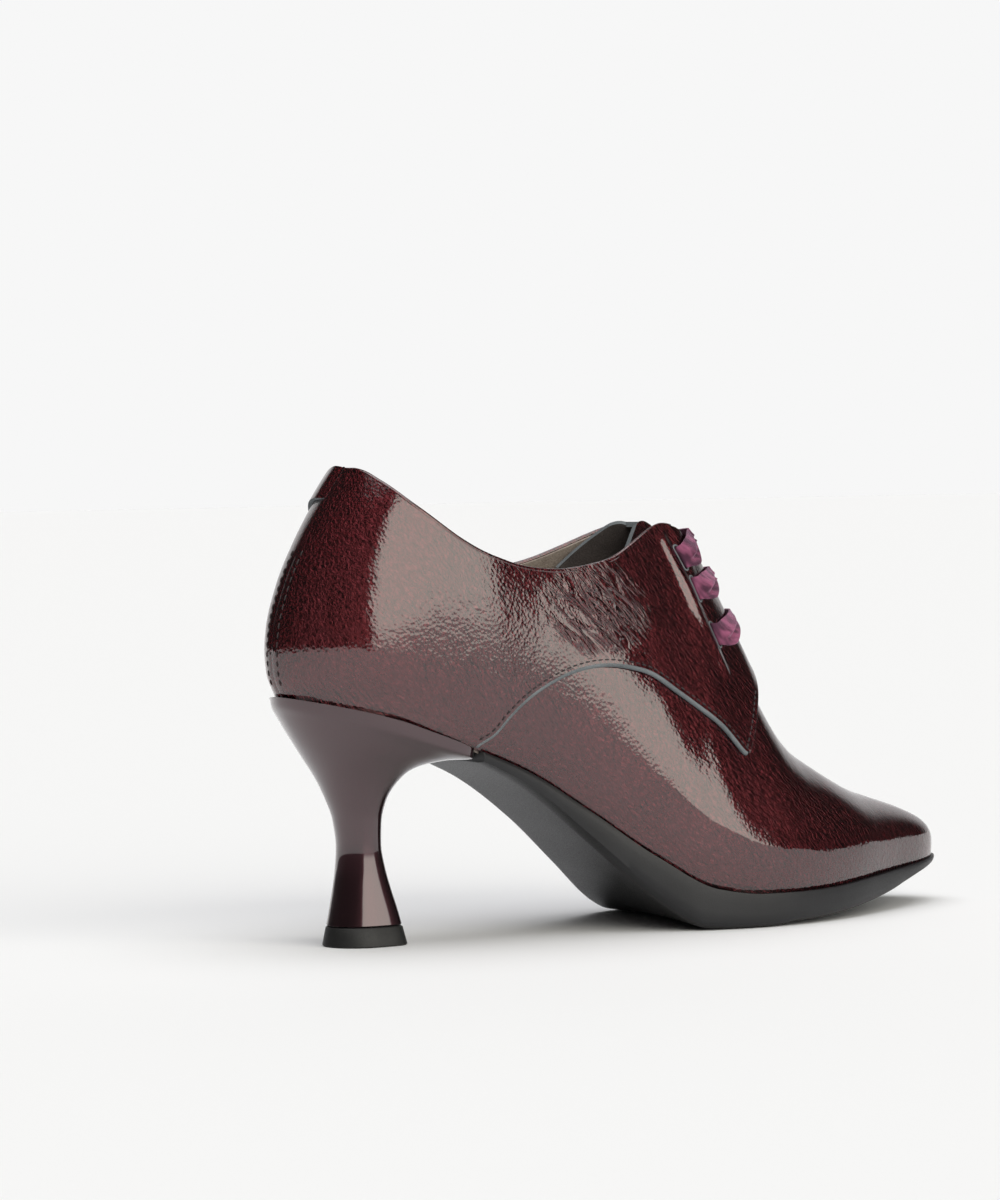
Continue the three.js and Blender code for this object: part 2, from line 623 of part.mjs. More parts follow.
// Flat band through a path of points, "across" being the way of its width at each point
function band(path, width) {
  const rings = path.map(({ point, across, out }) => {
    const w = across.clone().multiplyScalar(width / 2);
    const h = out.clone().multiplyScalar(LACE_THICKNESS / 2);
    return [
      point.clone().sub(w).sub(h),
      point.clone().add(w).sub(h),
      point.clone().add(w).add(h),
      point.clone().sub(w).add(h),
    ];
  });
  return loft(rings, { lids: ["first", "last"] });
}

// Point in the middle of the lace where it lies under the facing
function underFacing(x, t, side) {
  return lastPoint(x, t, side, vampGrow(x) - UPPER_WALL - (LACE_ROOM + GAP / 2) / 2);
}

// Depth of the hidden lace below the middle of a slot
function laceDepth({ x, t, centre, out }, side) {
  return centre.clone().sub(underFacing(x, t, side)).dot(out);
}

// Half of a lace bar, from under its slot over the facing to the middle of the throat
function laceHalf(index, side) {
  const slot = slotFrame(index, side);
  const { x, centre, out, along, across } = slot;
  const crossX = SLOTS[index].cross * LAST_LENGTH;
  const depth = laceDepth(slot, side) + LACE_THICKNESS / 2;
  const away = across.clone().negate();
  const under = [depth, -2 * GAP].map((down) => (
    { point: centre.clone().addScaledVector(out, -down), across: along, out: away }
  ));
  const slope = facingPoint(crossX + 1, 1, side).sub(facingPoint(crossX - 1, 1, side)).setY(0).normalize();
  const up = new THREE.Vector3(-slope.z, 0, slope.x);
  const middle = facingPoint(crossX, 1, side).setY(0).addScaledVector(up, GAP + LACE_THICKNESS);
  const over = LACE_RISE.map(({ way, lift }) => {
    const onX = THREE.MathUtils.lerp(x, crossX, way);
    const level = THREE.MathUtils.lerp(centre.z, middle.z, way);
    const onT = lastAtLevel(onX, level, side, QUARTER_STEP + FACING_LIFT);
    const local = facingFrame(onX, onT, side);
    const point = facingPoint(onX, onT, side).addScaledVector(local.out, GAP + lift * LACE_THICKNESS);
    return { point, across: local.along, out: local.out };
  });
  return [...under, ...over, { point: middle, across: slope, out: up }];
}

// One ribbon that crosses the throat three times, with hidden runs under the facings
function makeLace() {
  const pieces = [];
  for (let k = 0; k < SLOTS.length; k += 1) {
    const outer = laceHalf(k, -1);
    const inner = laceHalf(k, 1).slice(0, -1).reverse();
    pieces.push(band([...outer, ...inner], LACE_WIDTH));
  }
  for (let k = 0; k + 1 < SLOTS.length; k += 1) {
    pieces.push(hiddenRun(k, k % 2 === 0 ? 1 : -1));
  }
  return union(...pieces);
}

// Run under one facing from slot k to the next
function hiddenRun(k, side) {
  const from = slotFrame(k, side);
  const to = slotFrame(k + 1, side);
  const end = (slot) => ({
    point: slot.centre.clone().addScaledVector(slot.out, -laceDepth(slot, side)),
    across: slot.across,
    out: slot.out,
  });
  const between = [0.33, 0.67].map((way) => {
    const x = THREE.MathUtils.lerp(from.x, to.x, way);
    const t = THREE.MathUtils.lerp(from.t, to.t, way);
    const { out, across } = facingFrame(x, t, side);
    return { point: underFacing(x, t, side), across, out };
  });
  return band([end(from), ...between, end(to)], LACE_WIDTH / 2);
}

const MATERIALS = {
  patent: new THREE.MeshStandardMaterial({ color: 0x3a1014, roughness: 0.15, metalness: 0 }),
  lacquer: new THREE.MeshStandardMaterial({ color: 0x3d1c20, roughness: 0.12, metalness: 0 }),
  rubber: new THREE.MeshStandardMaterial({ color: 0x2a2828, roughness: 0.6, metalness: 0 }),
  lining: new THREE.MeshStandardMaterial({ color: 0x8a7c72, roughness: 0.8, metalness: 0 }),
  tongueSuede: new THREE.MeshStandardMaterial({ color: 0x40302e, roughness: 0.85, metalness: 0 }),
  velvet: new THREE.MeshStandardMaterial({ color: 0x6b3a58, roughness: 0.9, metalness: 0 }),
};

function meshOf(name, body, material) {
  const { vertProperties, triVerts } = body.getMesh();
  const geometry = new THREE.BufferGeometry();
  geometry.setAttribute("position", new THREE.Float32BufferAttribute(Array.from(vertProperties), 3));
  geometry.setIndex(Array.from(triVerts));
  geometry.computeVertexNormals();
  const mesh = new THREE.Mesh(geometry, material);
  mesh.name = name;
  return mesh;
}

const shoe = new THREE.Group();
shoe.add(
  meshOf("upper", makeUpper(), MATERIALS.patent),
  meshOf("tongue", makeTongue(), MATERIALS.tongueSuede),
  meshOf("insole", makeInsole(), MATERIALS.lining),
  meshOf("outsole", makeOutsole(), MATERIALS.rubber),
  meshOf("heel", makeHeel(), MATERIALS.lacquer),
  meshOf("top_lift", makeTopLift(), MATERIALS.rubber),
  meshOf("lace", makeLace(), MATERIALS.velvet),
);

// The origin is the middle of the shoe's box, on the floor
const box = new THREE.Box3().setFromObject(shoe);
const centre = box.getCenter(new THREE.Vector3());
shoe.position.set(-centre.x, -centre.y, -box.min.z);

export default shoe;
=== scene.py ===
import math

import bmesh
import bpy
import numpy as np
from mathutils import Matrix, Vector


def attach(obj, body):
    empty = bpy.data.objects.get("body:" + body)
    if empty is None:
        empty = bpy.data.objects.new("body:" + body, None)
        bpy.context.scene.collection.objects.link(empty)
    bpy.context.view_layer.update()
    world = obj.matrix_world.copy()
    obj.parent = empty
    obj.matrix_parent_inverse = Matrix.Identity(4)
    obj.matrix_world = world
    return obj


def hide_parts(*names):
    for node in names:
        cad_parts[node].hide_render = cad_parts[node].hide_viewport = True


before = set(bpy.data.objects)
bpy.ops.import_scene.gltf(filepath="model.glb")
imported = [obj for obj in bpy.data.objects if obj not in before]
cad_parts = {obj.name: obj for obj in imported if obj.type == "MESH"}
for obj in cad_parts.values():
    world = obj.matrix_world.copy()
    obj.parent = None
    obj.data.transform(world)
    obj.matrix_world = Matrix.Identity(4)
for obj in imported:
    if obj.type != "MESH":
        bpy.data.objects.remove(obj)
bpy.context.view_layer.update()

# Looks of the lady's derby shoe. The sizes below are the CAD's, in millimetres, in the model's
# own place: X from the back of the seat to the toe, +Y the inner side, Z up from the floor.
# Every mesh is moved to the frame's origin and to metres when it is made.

MM = 0.001
ORIGIN = np.array([112.037, -0.421, 0.0])

# The last
LAST_LENGTH = 226.0
BALL_WIDTH = 79.0
SEAT_HEIGHT = 70.2
TOE_SPRING = 4.4
INSTEP_HEIGHT = 110.0
COLLAR_HEIGHT = 64.0
TOE_DRIFT = 4.5
BACK_CAP = 29.0
TOE_CAP = 40.0
BACK_ROUND = 1.75
TOE_ROUND = 1.85
GIRTH_SHARE = 0.22
CAP_BLEND = 9.0
PLAN_BLEND = 9.0

# Upper, tongue and insole
UPPER_WALL = 1.6
QUARTER_STEP = 1.3
FACING_LIFT = 1.4
FACING_GAP = 20.0
TAB_STEP = 1.2
SLOT_LENGTH = 8.0
SLOT_WIDTH = 2.0
SLOT_STRAIGHT = (SLOT_LENGTH - SLOT_WIDTH) / 2
TONGUE_THICKNESS = 1.7
INSOLE_THICKNESS = 2.5
VAMP_LEATHER = 1.1
QUARTER_LEATHER = 1.3
LINING_LEATHER = 0.9

# Outsole, heel, top lift and lace
SOLE_THICKNESS = 9.3
SOLE_OVERHANG = 1.6
ARCH_OVERHANG = 0.4
TREAD_SPRING = 11.6
HEEL_SEAT_LENGTH = 52.0
HEEL_SEAT_WIDTH = 50.0
TOP_LIFT_HEIGHT = 5.5
LACE_THICKNESS = 1.2
GAP = 0.3
SEAM_GAP = 0.08
TONGUE_DEPTH = UPPER_WALL + LACE_THICKNESS + 4 * GAP

# Derived heights
BALL_HEIGHT = SOLE_THICKNESS + GAP
HEEL_LIFT = SEAT_HEIGHT - BALL_HEIGHT
SOLE_START = HEEL_SEAT_LENGTH - 0.9


def table(names, rows):
    return dict(zip(names.split(), np.array(rows, float).T))


# Sections of the last, as shares of the sizes above
SECTIONS = table("at heel_lift toe_lift feather_out feather_in girth_out girth_in belly top round", [
    [0.000, 1.000, 0.00, 0.304, 0.291, 0.354, 0.323, 0.215, 0.139, 2.30],
    [0.100, 0.901, 0.00, 0.310, 0.304, 0.367, 0.348, 0.228, 0.139, 2.30],
    [0.210, 0.754, 0.00, 0.297, 0.291, 0.367, 0.352, 0.253, 0.114, 2.20],
    [0.299, 0.615, 0.00, 0.285, 0.259, 0.361, 0.335, 0.278, 0.095, 2.00],
    [0.383, 0.416, 0.00, 0.310, 0.259, 0.380, 0.335, 0.304, 0.089, 1.75],
    [0.462, 0.200, 0.00, 0.370, 0.304, 0.430, 0.373, 0.278, 0.089, 1.40],
    [0.538, 0.036, 0.00, 0.443, 0.392, 0.487, 0.443, 0.228, 0.095, 1.20],
    [0.600, 0.003, 0.00, 0.481, 0.449, 0.513, 0.481, 0.177, 0.095, 1.15],
    [0.662, 0.000, 0.00, 0.476, 0.475, 0.501, 0.500, 0.152, 0.063, 1.35],
    [0.715, 0.000, 0.05, 0.448, 0.475, 0.471, 0.494, 0.127, 0.006, 1.70],
    [0.794, 0.000, 0.30, 0.380, 0.430, 0.400, 0.449, 0.114, 0.000, 2.00],
    [0.874, 0.000, 0.55, 0.289, 0.354, 0.304, 0.371, 0.101, 0.000, 2.10],
    [0.945, 0.000, 0.80, 0.278, 0.354, 0.291, 0.367, 0.089, 0.000, 2.20],
    [1.000, 0.000, 1.00, 0.278, 0.354, 0.291, 0.367, 0.076, 0.000, 2.20],
])
RIDGE = table("at height", [
    [0.000, 0.725], [0.378, 0.940], [0.467, 1.009], [0.538, 0.984], [0.573, 0.900], [0.608, 0.789],
    [0.635, 0.690], [0.662, 0.572], [0.688, 0.466], [0.715, 0.391], [0.759, 0.317], [0.794, 0.269],
    [0.834, 0.225], [0.874, 0.193], [0.918, 0.159], [0.945, 0.135], [0.967, 0.112], [0.985, 0.082],
    [0.996, 0.051], [1.000, 0.023],
])
LEAN = table("at shift", [
    [0.000, 0.000], [0.102, -0.038], [0.192, -0.044], [0.294, -0.034], [0.481, 0.022],
    [0.684, 0.125], [0.880, 0.253], [0.989, 0.336], [1.247, 0.547],
])
LEAN_REACH = 0.42 * LAST_LENGTH

# Lines of the upper in side view or plan
COLLAR = table("at out inner", [
    [-0.040, 0.800, 0.800], [0.060, 0.930, 0.928], [0.074, 0.985, 0.983], [0.088, 1.006, 1.004],
    [0.099, 0.975, 0.968], [0.107, 0.925, 0.912],
    [0.129, 0.832, 0.810], [0.173, 0.705, 0.675], [0.211, 0.623, 0.590], [0.246, 0.573, 0.545],
    [0.284, 0.536, 0.515], [0.336, 0.520, 0.505], [0.392, 0.542, 0.530], [0.427, 0.572, 0.560],
    [0.467, 0.633, 0.615], [0.503, 0.688, 0.670], [0.528, 0.711, 0.700], [0.550, 0.696, 0.690],
    [0.566, 0.664, 0.664], [0.580, 0.640, 0.640],
])
QUARTER_EDGE = table("at height", [
    [0.205, -0.060], [0.213, 0.000], [0.235, 0.058], [0.254, 0.132], [0.280, 0.207], [0.317, 0.289],
    [0.352, 0.358], [0.387, 0.410], [0.423, 0.444], [0.458, 0.465], [0.492, 0.470], [0.527, 0.470],
    [0.562, 0.459], [0.586, 0.437], [0.594, 0.436], [0.601, 0.462], [0.618, 0.568], [0.633, 0.694],
    [0.652, 0.900], [0.655, 1.040], [0.650, 1.150],
])
THROAT = table("at half", [
    [0.480, 0.70], [0.510, 0.70], [0.527, 0.68], [0.546, 0.60], [0.570, 0.53], [0.600, 0.50],
    [0.625, 0.48], [0.640, 0.36], [0.646, 0.18],
])
TAB = table("at rise", [
    [-0.050, 0.900], [0.060, 0.865], [0.110, 0.745], [0.145, 0.655], [0.167, 0.630], [0.184, 0.650],
    [0.188, 0.695], [0.175, 0.780], [0.120, 1.040], [-0.050, 1.060],
])
TONGUE_OUTLINE = table("at rise", [
    [0.448, 0.520], [0.475, 0.615], [0.498, 0.688], [0.509, 0.718], [0.520, 0.728], [0.532, 0.720],
    [0.548, 0.700], [0.600, 0.660], [0.680, 0.300], [0.680, -0.100], [0.635, -0.060],
])
SLOTS = table("at height cross", [
    [0.545, 0.853, 0.588], [0.560, 0.801, 0.619], [0.581, 0.734, 0.648],
])

# Outsole and heel
SOLE = table("at thick_out thick_in rise bevel", [
    [0.220, 0.31, 0.20, 0.00, 0.35], [0.281, 0.42, 0.22, 0.00, 0.45], [0.338, 0.64, 0.28, 0.00, 0.45],
    [0.396, 0.94, 0.40, 0.00, 0.40], [0.445, 1.17, 0.50, 0.00, 0.35], [0.471, 1.28, 0.56, 0.00, 0.30],
    [0.500, 1.36, 0.63, 0.00, 0.25], [0.524, 1.46, 0.73, 0.00, 0.18], [0.551, 1.46, 0.93, 0.00, 0.16],
    [0.582, 1.46, 1.22, 0.00, 0.14], [0.609, 1.46, 1.46, 0.00, 0.14], [0.648, 1.40, 1.40, 0.07, 0.14],
    [0.697, 1.40, 1.40, 0.11, 0.14], [0.743, 1.40, 1.40, 0.18, 0.14], [0.794, 1.40, 1.40, 0.29, 0.14],
    [0.847, 1.40, 1.40, 0.43, 0.14], [0.887, 1.40, 1.40, 0.60, 0.16], [0.918, 1.40, 1.40, 0.72, 0.18],
    [0.960, 1.40, 1.40, 0.87, 0.20], [1.000, 1.40, 1.40, 1.00, 0.22],
])
HEEL_COLUMNS = "back back_up front front_up half widest back_round front_round"
HEEL = table(HEEL_COLUMNS, [
    [0.255, 0.000, 0.682, 0.000, 0.214, 0.50, 2.0, 4.5],
    [0.296, 0.137, 0.638, 0.137, 0.184, 0.50, 2.0, 4.2],
    [0.319, 0.225, 0.608, 0.225, 0.164, 0.50, 2.0, 3.6],
    [0.337, 0.306, 0.585, 0.306, 0.150, 0.50, 2.0, 3.0],
    [0.346, 0.399, 0.569, 0.399, 0.142, 0.50, 2.0, 2.6],
    [0.329, 0.501, 0.574, 0.499, 0.153, 0.50, 2.0, 2.5],
    [0.290, 0.584, 0.598, 0.577, 0.184, 0.50, 2.0, 2.5],
    [0.242, 0.662, 0.646, 0.641, 0.228, 0.50, 2.0, 2.7],
    [0.169, 0.751, 0.712, 0.690, 0.292, 0.51, 2.0, 3.0],
    [0.096, 0.835, 0.790, 0.713, 0.360, 0.52, 1.9, 3.4],
    [0.025, 0.925, 0.892, 0.726, 0.432, 0.54, 1.9, 4.0],
    [-0.013, 0.976, 0.973, 0.731, 0.482, 0.56, 1.85, 7.0],
    [-0.023, 1.040, 0.977, 0.830, 0.496, 0.56, 1.85, 8.0],
])

# Creases of the outer leather in side view: from and to (X and Z), width and depth. A negative
# depth is a soft ridge.
CREASES = table("x0 z0 x1 z1 width depth", [
    [76, 106, 108, 72, 5.0, 0.16],
    [84, 108, 112, 84, 4.0, -0.18],
    [92, 110, 116, 90, 2.6, 0.22],
    [98, 108, 112, 92, 1.8, -0.18],
    [117.8, 111.2, 132.0, 73.0, 1.7, -0.80],
    [121.0, 112.0, 132.6, 80.0, 1.4, 0.22],
])


# ---- Curves and the last's surface ----

def smooth_step(low, high, value):
    s = np.clip((value - low) / (high - low), 0, 1)
    return s * s * (3 - 2 * s)


def column_at(rows, column, at, key="at"):
    """Monotone cubic curve through one column of a table."""
    x, v = rows[key], rows[column]
    width = np.diff(x)
    slope = np.diff(v) / width
    before, after = slope[:-1], slope[1:]
    weight_before = 2 * width[1:] + width[:-1]
    weight_after = width[1:] + 2 * width[:-1]
    flat = before * after <= 0
    safe = np.where(flat, 1, before), np.where(flat, 1, after)
    mean = (weight_before + weight_after) / (weight_before / safe[0] + weight_after / safe[1])
    tangent = np.concatenate([slope[:1], np.where(flat, 0, mean), slope[-1:]])
    at = np.clip(at, x[0], x[-1])
    k = np.clip(np.searchsorted(x, at) - 1, 0, len(x) - 2)
    s = (at - x[k]) / width[k]
    rise = s * s * (3 - 2 * s)
    turn = tangent[k] * s * (1 - s) ** 2 - tangent[k + 1] * s * s * (1 - s)
    return v[k] * (1 - rise) + v[k + 1] * rise + width[k] * turn


def spline(points, count):
    """Smooth curve through points, as count + 1 points."""
    points = np.asarray(points, float)
    last = len(points) - 1
    place = np.linspace(0, last, count + 1)
    k = np.minimum(place.astype(int), last - 1)
    s = (place - k)[:, None]
    p0, p1 = points[np.maximum(k - 1, 0)], points[k]
    p2, p3 = points[k + 1], points[np.minimum(k + 2, last)]
    v0, v1 = (p2 - p0) / 2, (p3 - p1) / 2
    return (2 * p1 - 2 * p2 + v0 + v1) * s**3 + (-3 * p1 + 3 * p2 - 2 * v0 - v1) * s**2 + v0 * s + p1


def feather_height(x):
    at = x / LAST_LENGTH
    heel = HEEL_LIFT * column_at(SECTIONS, "heel_lift", at)
    return BALL_HEIGHT + heel + TOE_SPRING * column_at(SECTIONS, "toe_lift", at)


def ridge_height(x):
    return feather_height(x) + INSTEP_HEIGHT * column_at(RIDGE, "height", x / LAST_LENGTH)


def end_cap(x, half_width):
    """Round ends of the plan: the width's share left at x, and the outline's normal."""
    share, nx, ny = np.ones_like(x), np.zeros_like(x), np.ones_like(x)
    toe_start = LAST_LENGTH - TOE_CAP
    ends = ((BACK_CAP, BACK_CAP - x, BACK_ROUND, -1), (TOE_CAP, x - toe_start, TOE_ROUND, 1))
    for reach, into, power, way in ends:
        blended = np.maximum(0, into + CAP_BLEND) ** 2 / (4 * CAP_BLEND)
        soft = np.where(into < CAP_BLEND, blended, into)
        steep = np.clip((into + CAP_BLEND) / (2 * CAP_BLEND), 0, 1)
        u = np.clip(soft / reach, 0, 1)
        left = (1 - u**power) ** (1 / power)
        along = steep * u ** (power - 1) / reach
        across = left ** (power - 1) / half_width
        length = np.hypot(along, across)
        ending = into > -CAP_BLEND
        share = np.where(ending, left, share)
        nx = np.where(ending, way * along / length, nx)
        ny = np.where(ending, across / length, ny)
    return share, nx, ny


def last_point(x, t, side, grow):
    """Points on the last, grown outward. t runs from the feather line (0) over the girth to the
    ridge (1); side is -1 on the outer side and 1 on the inner."""
    x, t, side, grow = np.broadcast_arrays(*(np.asarray(v, float) for v in (x, t, side, grow)))
    at = x / LAST_LENGTH

    def both(name, at):
        out = column_at(SECTIONS, name + "_out", at)
        return BALL_WIDTH * np.where(side < 0, out, column_at(SECTIONS, name + "_in", at))

    share, nx, ny = end_cap(x, both("girth", at))
    spread = np.minimum(PLAN_BLEND, 0.45 * np.minimum(x, LAST_LENGTH - x))
    low, wide = 0.0, 0.0
    for step in (-1.0, -0.5, 0.0, 0.5, 1.0):
        near = np.clip(x + step * spread, 0, LAST_LENGTH)
        near_at = near / LAST_LENGTH
        girth = both("girth", near_at)
        near_share = end_cap(near, girth)[0]
        low = low + both("feather", near_at) * near_share / 5
        wide = wide + girth * near_share / 5
    low, wide = low + grow * ny, wide + grow * ny
    top = np.maximum(0, BALL_WIDTH * column_at(SECTIONS, "top", at) * share + 0.6 * grow * ny)
    slope = np.minimum(2, np.abs(ridge_height(x + 1) - ridge_height(x - 1)) / 2)
    foot = feather_height(x)
    ridge = ridge_height(x) + grow * np.hypot(1, slope) * (1 - 0.6 * np.maximum(0, nx))
    belly = foot + np.minimum(BALL_WIDTH * column_at(SECTIONS, "belly", at), (ridge - foot) / 2)
    under = t / GIRTH_SHARE
    angle = np.clip((t - GIRTH_SHARE) / (1 - GIRTH_SHARE), 0, 1) * math.pi / 2
    power = 2 / column_at(SECTIONS, "round", at)
    over_y = top + (np.maximum(wide, top) - top) * np.maximum(0, np.cos(angle)) ** power
    over_z = belly + (ridge - belly) * np.sin(angle) ** power
    is_under = t < GIRTH_SHARE
    under_y = low + (wide - low) * np.sin(np.clip(under, 0, 1) * math.pi / 2)
    y = np.where(is_under, under_y, over_y)
    z = np.where(is_under, foot + (belly - foot) * under, over_z)
    fade = np.maximum(0, 1 - x / LEAN_REACH) ** 1.6
    lean = COLLAR_HEIGHT * column_at(LEAN, "shift", (z - SEAT_HEIGHT) / COLLAR_HEIGHT) * fade
    drift = TOE_DRIFT * np.maximum(0, (at - 0.644) / 0.354) ** 1.6
    return np.stack([x + grow * nx + lean, side * y + drift, z], -1)


def back_share(x):
    return smooth_step(0.09 * LAST_LENGTH, 0.245 * LAST_LENGTH, x)


def vamp_grow(x, t):
    return QUARTER_STEP * (back_share(x) - 1) + 0 * t


def facing_share(x, t):
    return smooth_step(0.46 * LAST_LENGTH, 0.56 * LAST_LENGTH, x) * smooth_step(0.5, 0.8, t)


def quarter_grow(x, t):
    return QUARTER_STEP * back_share(x) + FACING_LIFT * facing_share(x, t)


def t_at_level(x, z, side, grow):
    """The t at which the surface grown by grow(x, t) reaches height z at x."""
    low, high = np.zeros_like(x), np.ones_like(x)
    for _ in range(20):
        middle = (low + high) / 2
        below = last_point(x, middle, side, grow(x, middle))[..., 2] < z
        low, high = np.where(below, middle, low), np.where(below, high, middle)
    return low


def locate(world_x, z, side, grow):
    """x and t of the points of a grown surface that show at world_x and z in side view."""
    world_x, z = np.asarray(world_x, float), np.asarray(z, float)
    x = np.clip(world_x, 0.05, LAST_LENGTH - 0.05)
    for _ in range(8):
        t = t_at_level(x, z, side, grow)
        shown = last_point(x, t, side, grow(x, t))[..., 0]
        x = np.clip(x + world_x - shown, 0.02, LAST_LENGTH - 0.02)
    return x, t


def surface_frame(x, t, side, grow):
    """Points of a grown surface with its outward normals."""
    def at(x, t):
        return last_point(x, t, side, grow(x, t))

    step, rise = 0.4, 0.006
    ahead = at(x + step, t) - at(x - step, t)
    up = at(x, t + rise) - at(x, t - rise)
    out = np.cross(ahead, up) * -side
    return at(x, t), out / np.linalg.norm(out, axis=-1, keepdims=True)


# ---- Outlines ----

def side_line(rows, column, count):
    """Smooth line in side view through a table's shares."""
    line = np.stack([rows["at"] * LAST_LENGTH, SEAT_HEIGHT + rows[column] * COLLAR_HEIGHT], -1)
    return spline(line, count)


def collar_line(side):
    return side_line(COLLAR, "out" if side < 0 else "inner", 120)


def over_collar(points, side):
    """Height over the collar's line."""
    line = collar_line(side)
    return points[..., 2] - np.interp(points[..., 0], line[:, 0], line[:, 1])


def quarter_line():
    x = QUARTER_EDGE["at"] * LAST_LENGTH
    foot = feather_height(x)
    height = foot + QUARTER_EDGE["height"] * (ridge_height(x) - foot)
    return spline(np.stack([x, height], -1), 160)


def quarter_outline():
    line = quarter_line()
    around = [[line[-1, 0], 300], [-60, 300], [-60, 30], [line[0, 0], 30]]
    return np.concatenate([line, around])


def outline_distance(points, outline):
    """Signed distance in side view to a closed outline, below zero inside it."""
    p = points[..., [0, 2]]
    nearest = np.full(p.shape[:-1], 1e9)
    inside = np.zeros(p.shape[:-1], bool)
    for a, b in zip(outline, np.roll(outline, -1, axis=0)):
        edge = b - a
        along = np.clip(((p - a) @ edge) / max(edge @ edge, 1e-12), 0, 1)
        nearest = np.minimum(nearest, np.linalg.norm(p - a - along[..., None] * edge, axis=-1))
        crosses = (a[1] > p[..., 1]) != (b[1] > p[..., 1])
        rise = edge[1] if abs(edge[1]) > 1e-12 else 1e-12
        inside ^= crosses & (p[..., 0] < a[0] + (p[..., 1] - a[1]) / rise * edge[0])
    return np.where(inside, -nearest, nearest)


def in_throat(points):
    """Above zero within the opening between the facings."""
    line = spline(np.stack([THROAT["at"] * LAST_LENGTH, THROAT["half"] * FACING_GAP], -1), 60)
    x, y, z = points[..., 0], points[..., 1], points[..., 2]
    half = np.interp(x, line[:, 0], line[:, 1])
    lowest = ridge_height(THROAT["at"][-1] * LAST_LENGTH) - FACING_GAP
    return np.minimum.reduce([half - np.abs(y), line[-1, 0] - x, x - line[0, 0], z - lowest])


# ---- Meshes ----

class Sheet:
    """Polygons with fields at their corners, which can be cut where a field is above zero."""

    def __init__(self, points, polys, fields):
        self.points, self.polys, self.fields = points, polys, fields

    def cut(self, name):
        value = self.fields[name]
        keys = list(self.fields)
        made, rows, polys = {}, [], []
        stack = np.column_stack([self.points] + [self.fields[k] for k in keys])

        def crossing(a, b):
            key = (min(a, b), max(a, b))
            if key not in made:
                share = value[a] / (value[a] - value[b])
                made[key] = len(stack) + len(rows)
                rows.append(stack[a] + share * (stack[b] - stack[a]))
            return made[key]

        keep = value <= 0
        for poly in self.polys:
            flags = [keep[k] for k in poly]
            if all(flags):
                polys.append(poly)
                continue
            if not any(flags):
                continue
            ring = []
            for k, corner in enumerate(poly):
                after = poly[(k + 1) % len(poly)]
                if flags[k]:
                    ring.append(corner)
                if keep[corner] != keep[after]:
                    ring.append(crossing(corner, after))
            if len(ring) > 2:
                polys.append(tuple(ring))
        whole = np.concatenate([stack, np.array(rows).reshape(-1, stack.shape[1])])
        fields = {k: whole[:, 3 + i] for i, k in enumerate(keys)}
        return Sheet(whole[:, :3], polys, fields)


def grid_polys(rows, columns, flip, start=0):
    polys = []
    for i in range(rows - 1):
        for j in range(columns - 1):
            a = start + i * columns + j
            quad = (a, a + columns, a + columns + 1, a + 1)
            polys.append(quad[::-1] if flip else quad)
    return polys


def cap_stations(low, high, count):
    """Stations along the last, close together in its round ends."""
    def steps(reach, power, number):
        angles = np.linspace(0, math.pi / 2, number)
        return [reach * (1 - math.cos(a) ** (2 / power)) for a in angles]

    back = steps(BACK_CAP, BACK_ROUND, 26)[:-1]
    toe = [LAST_LENGTH - step for step in steps(TOE_CAP, TOE_ROUND, 30)]
    middle = list(np.linspace(BACK_CAP, LAST_LENGTH - TOE_CAP, count)[:-1])
    whole = np.array(back + middle + toe[::-1])
    return np.concatenate([[low], whole[(whole > low + 0.05) & (whole < high - 0.05)], [high]])


def heights(under, over):
    """Values of t, with a count of steps under and over the girth."""
    low = np.linspace(0, GIRTH_SHARE, under + 1)[:-1]
    return np.concatenate([low, np.linspace(GIRTH_SHARE, 1, over + 1)])


def crease_shift(points):
    """Shift along the normal in the soft troughs and ridges of the creases."""
    shift = np.zeros(points.shape[:-1])
    p = points[..., [0, 2]]
    for x0, z0, x1, z1, width, depth in zip(*CREASES.values()):
        a, edge = np.array([x0, z0]), np.array([x1 - x0, z1 - z0])
        along = ((p - a) @ edge) / (edge @ edge)
        away = np.linalg.norm(p - a - np.clip(along, 0, 1)[..., None] * edge, axis=-1)
        shift -= depth * np.exp(-((away / width) ** 2))
    return shift


def grid_normals(points, side):
    ahead = np.gradient(points, axis=0)
    up = np.gradient(points, axis=1)
    out = np.cross(ahead, up) * -side
    length = np.linalg.norm(out, axis=-1, keepdims=True)
    return out / np.where(length < 1e-9, 1, length)


def side_sheet(xs, ts, side, grow, shape=None):
    """Sheet over one side of the last. shape(points, x, t) gives a shift along the normal."""
    x, t = np.meshgrid(xs, ts, indexing="ij")
    points = last_point(x, t, side, grow(x, t))
    if shape is not None:
        points = points + grid_normals(points, side) * shape(points, x, t)[..., None]
    return Sheet(points.reshape(-1, 3), grid_polys(len(xs), len(ts), side > 0), {"x": x.ravel()})


def bridge(left, right, count):
    """Sheet of straight rows between two edges."""
    shares = np.linspace(0, 1, count)
    points = left[:, None] + (right - left)[:, None] * shares[None, :, None]
    return Sheet(points.reshape(-1, 3), grid_polys(len(left), count, False), {})


def join(*sheets):
    points, polys, start = [], [], 0
    for sheet in sheets:
        points.append(sheet.points)
        polys += [tuple(k + start for k in poly) for poly in sheet.polys]
        start += len(sheet.points)
    return Sheet(np.concatenate(points), polys, {})


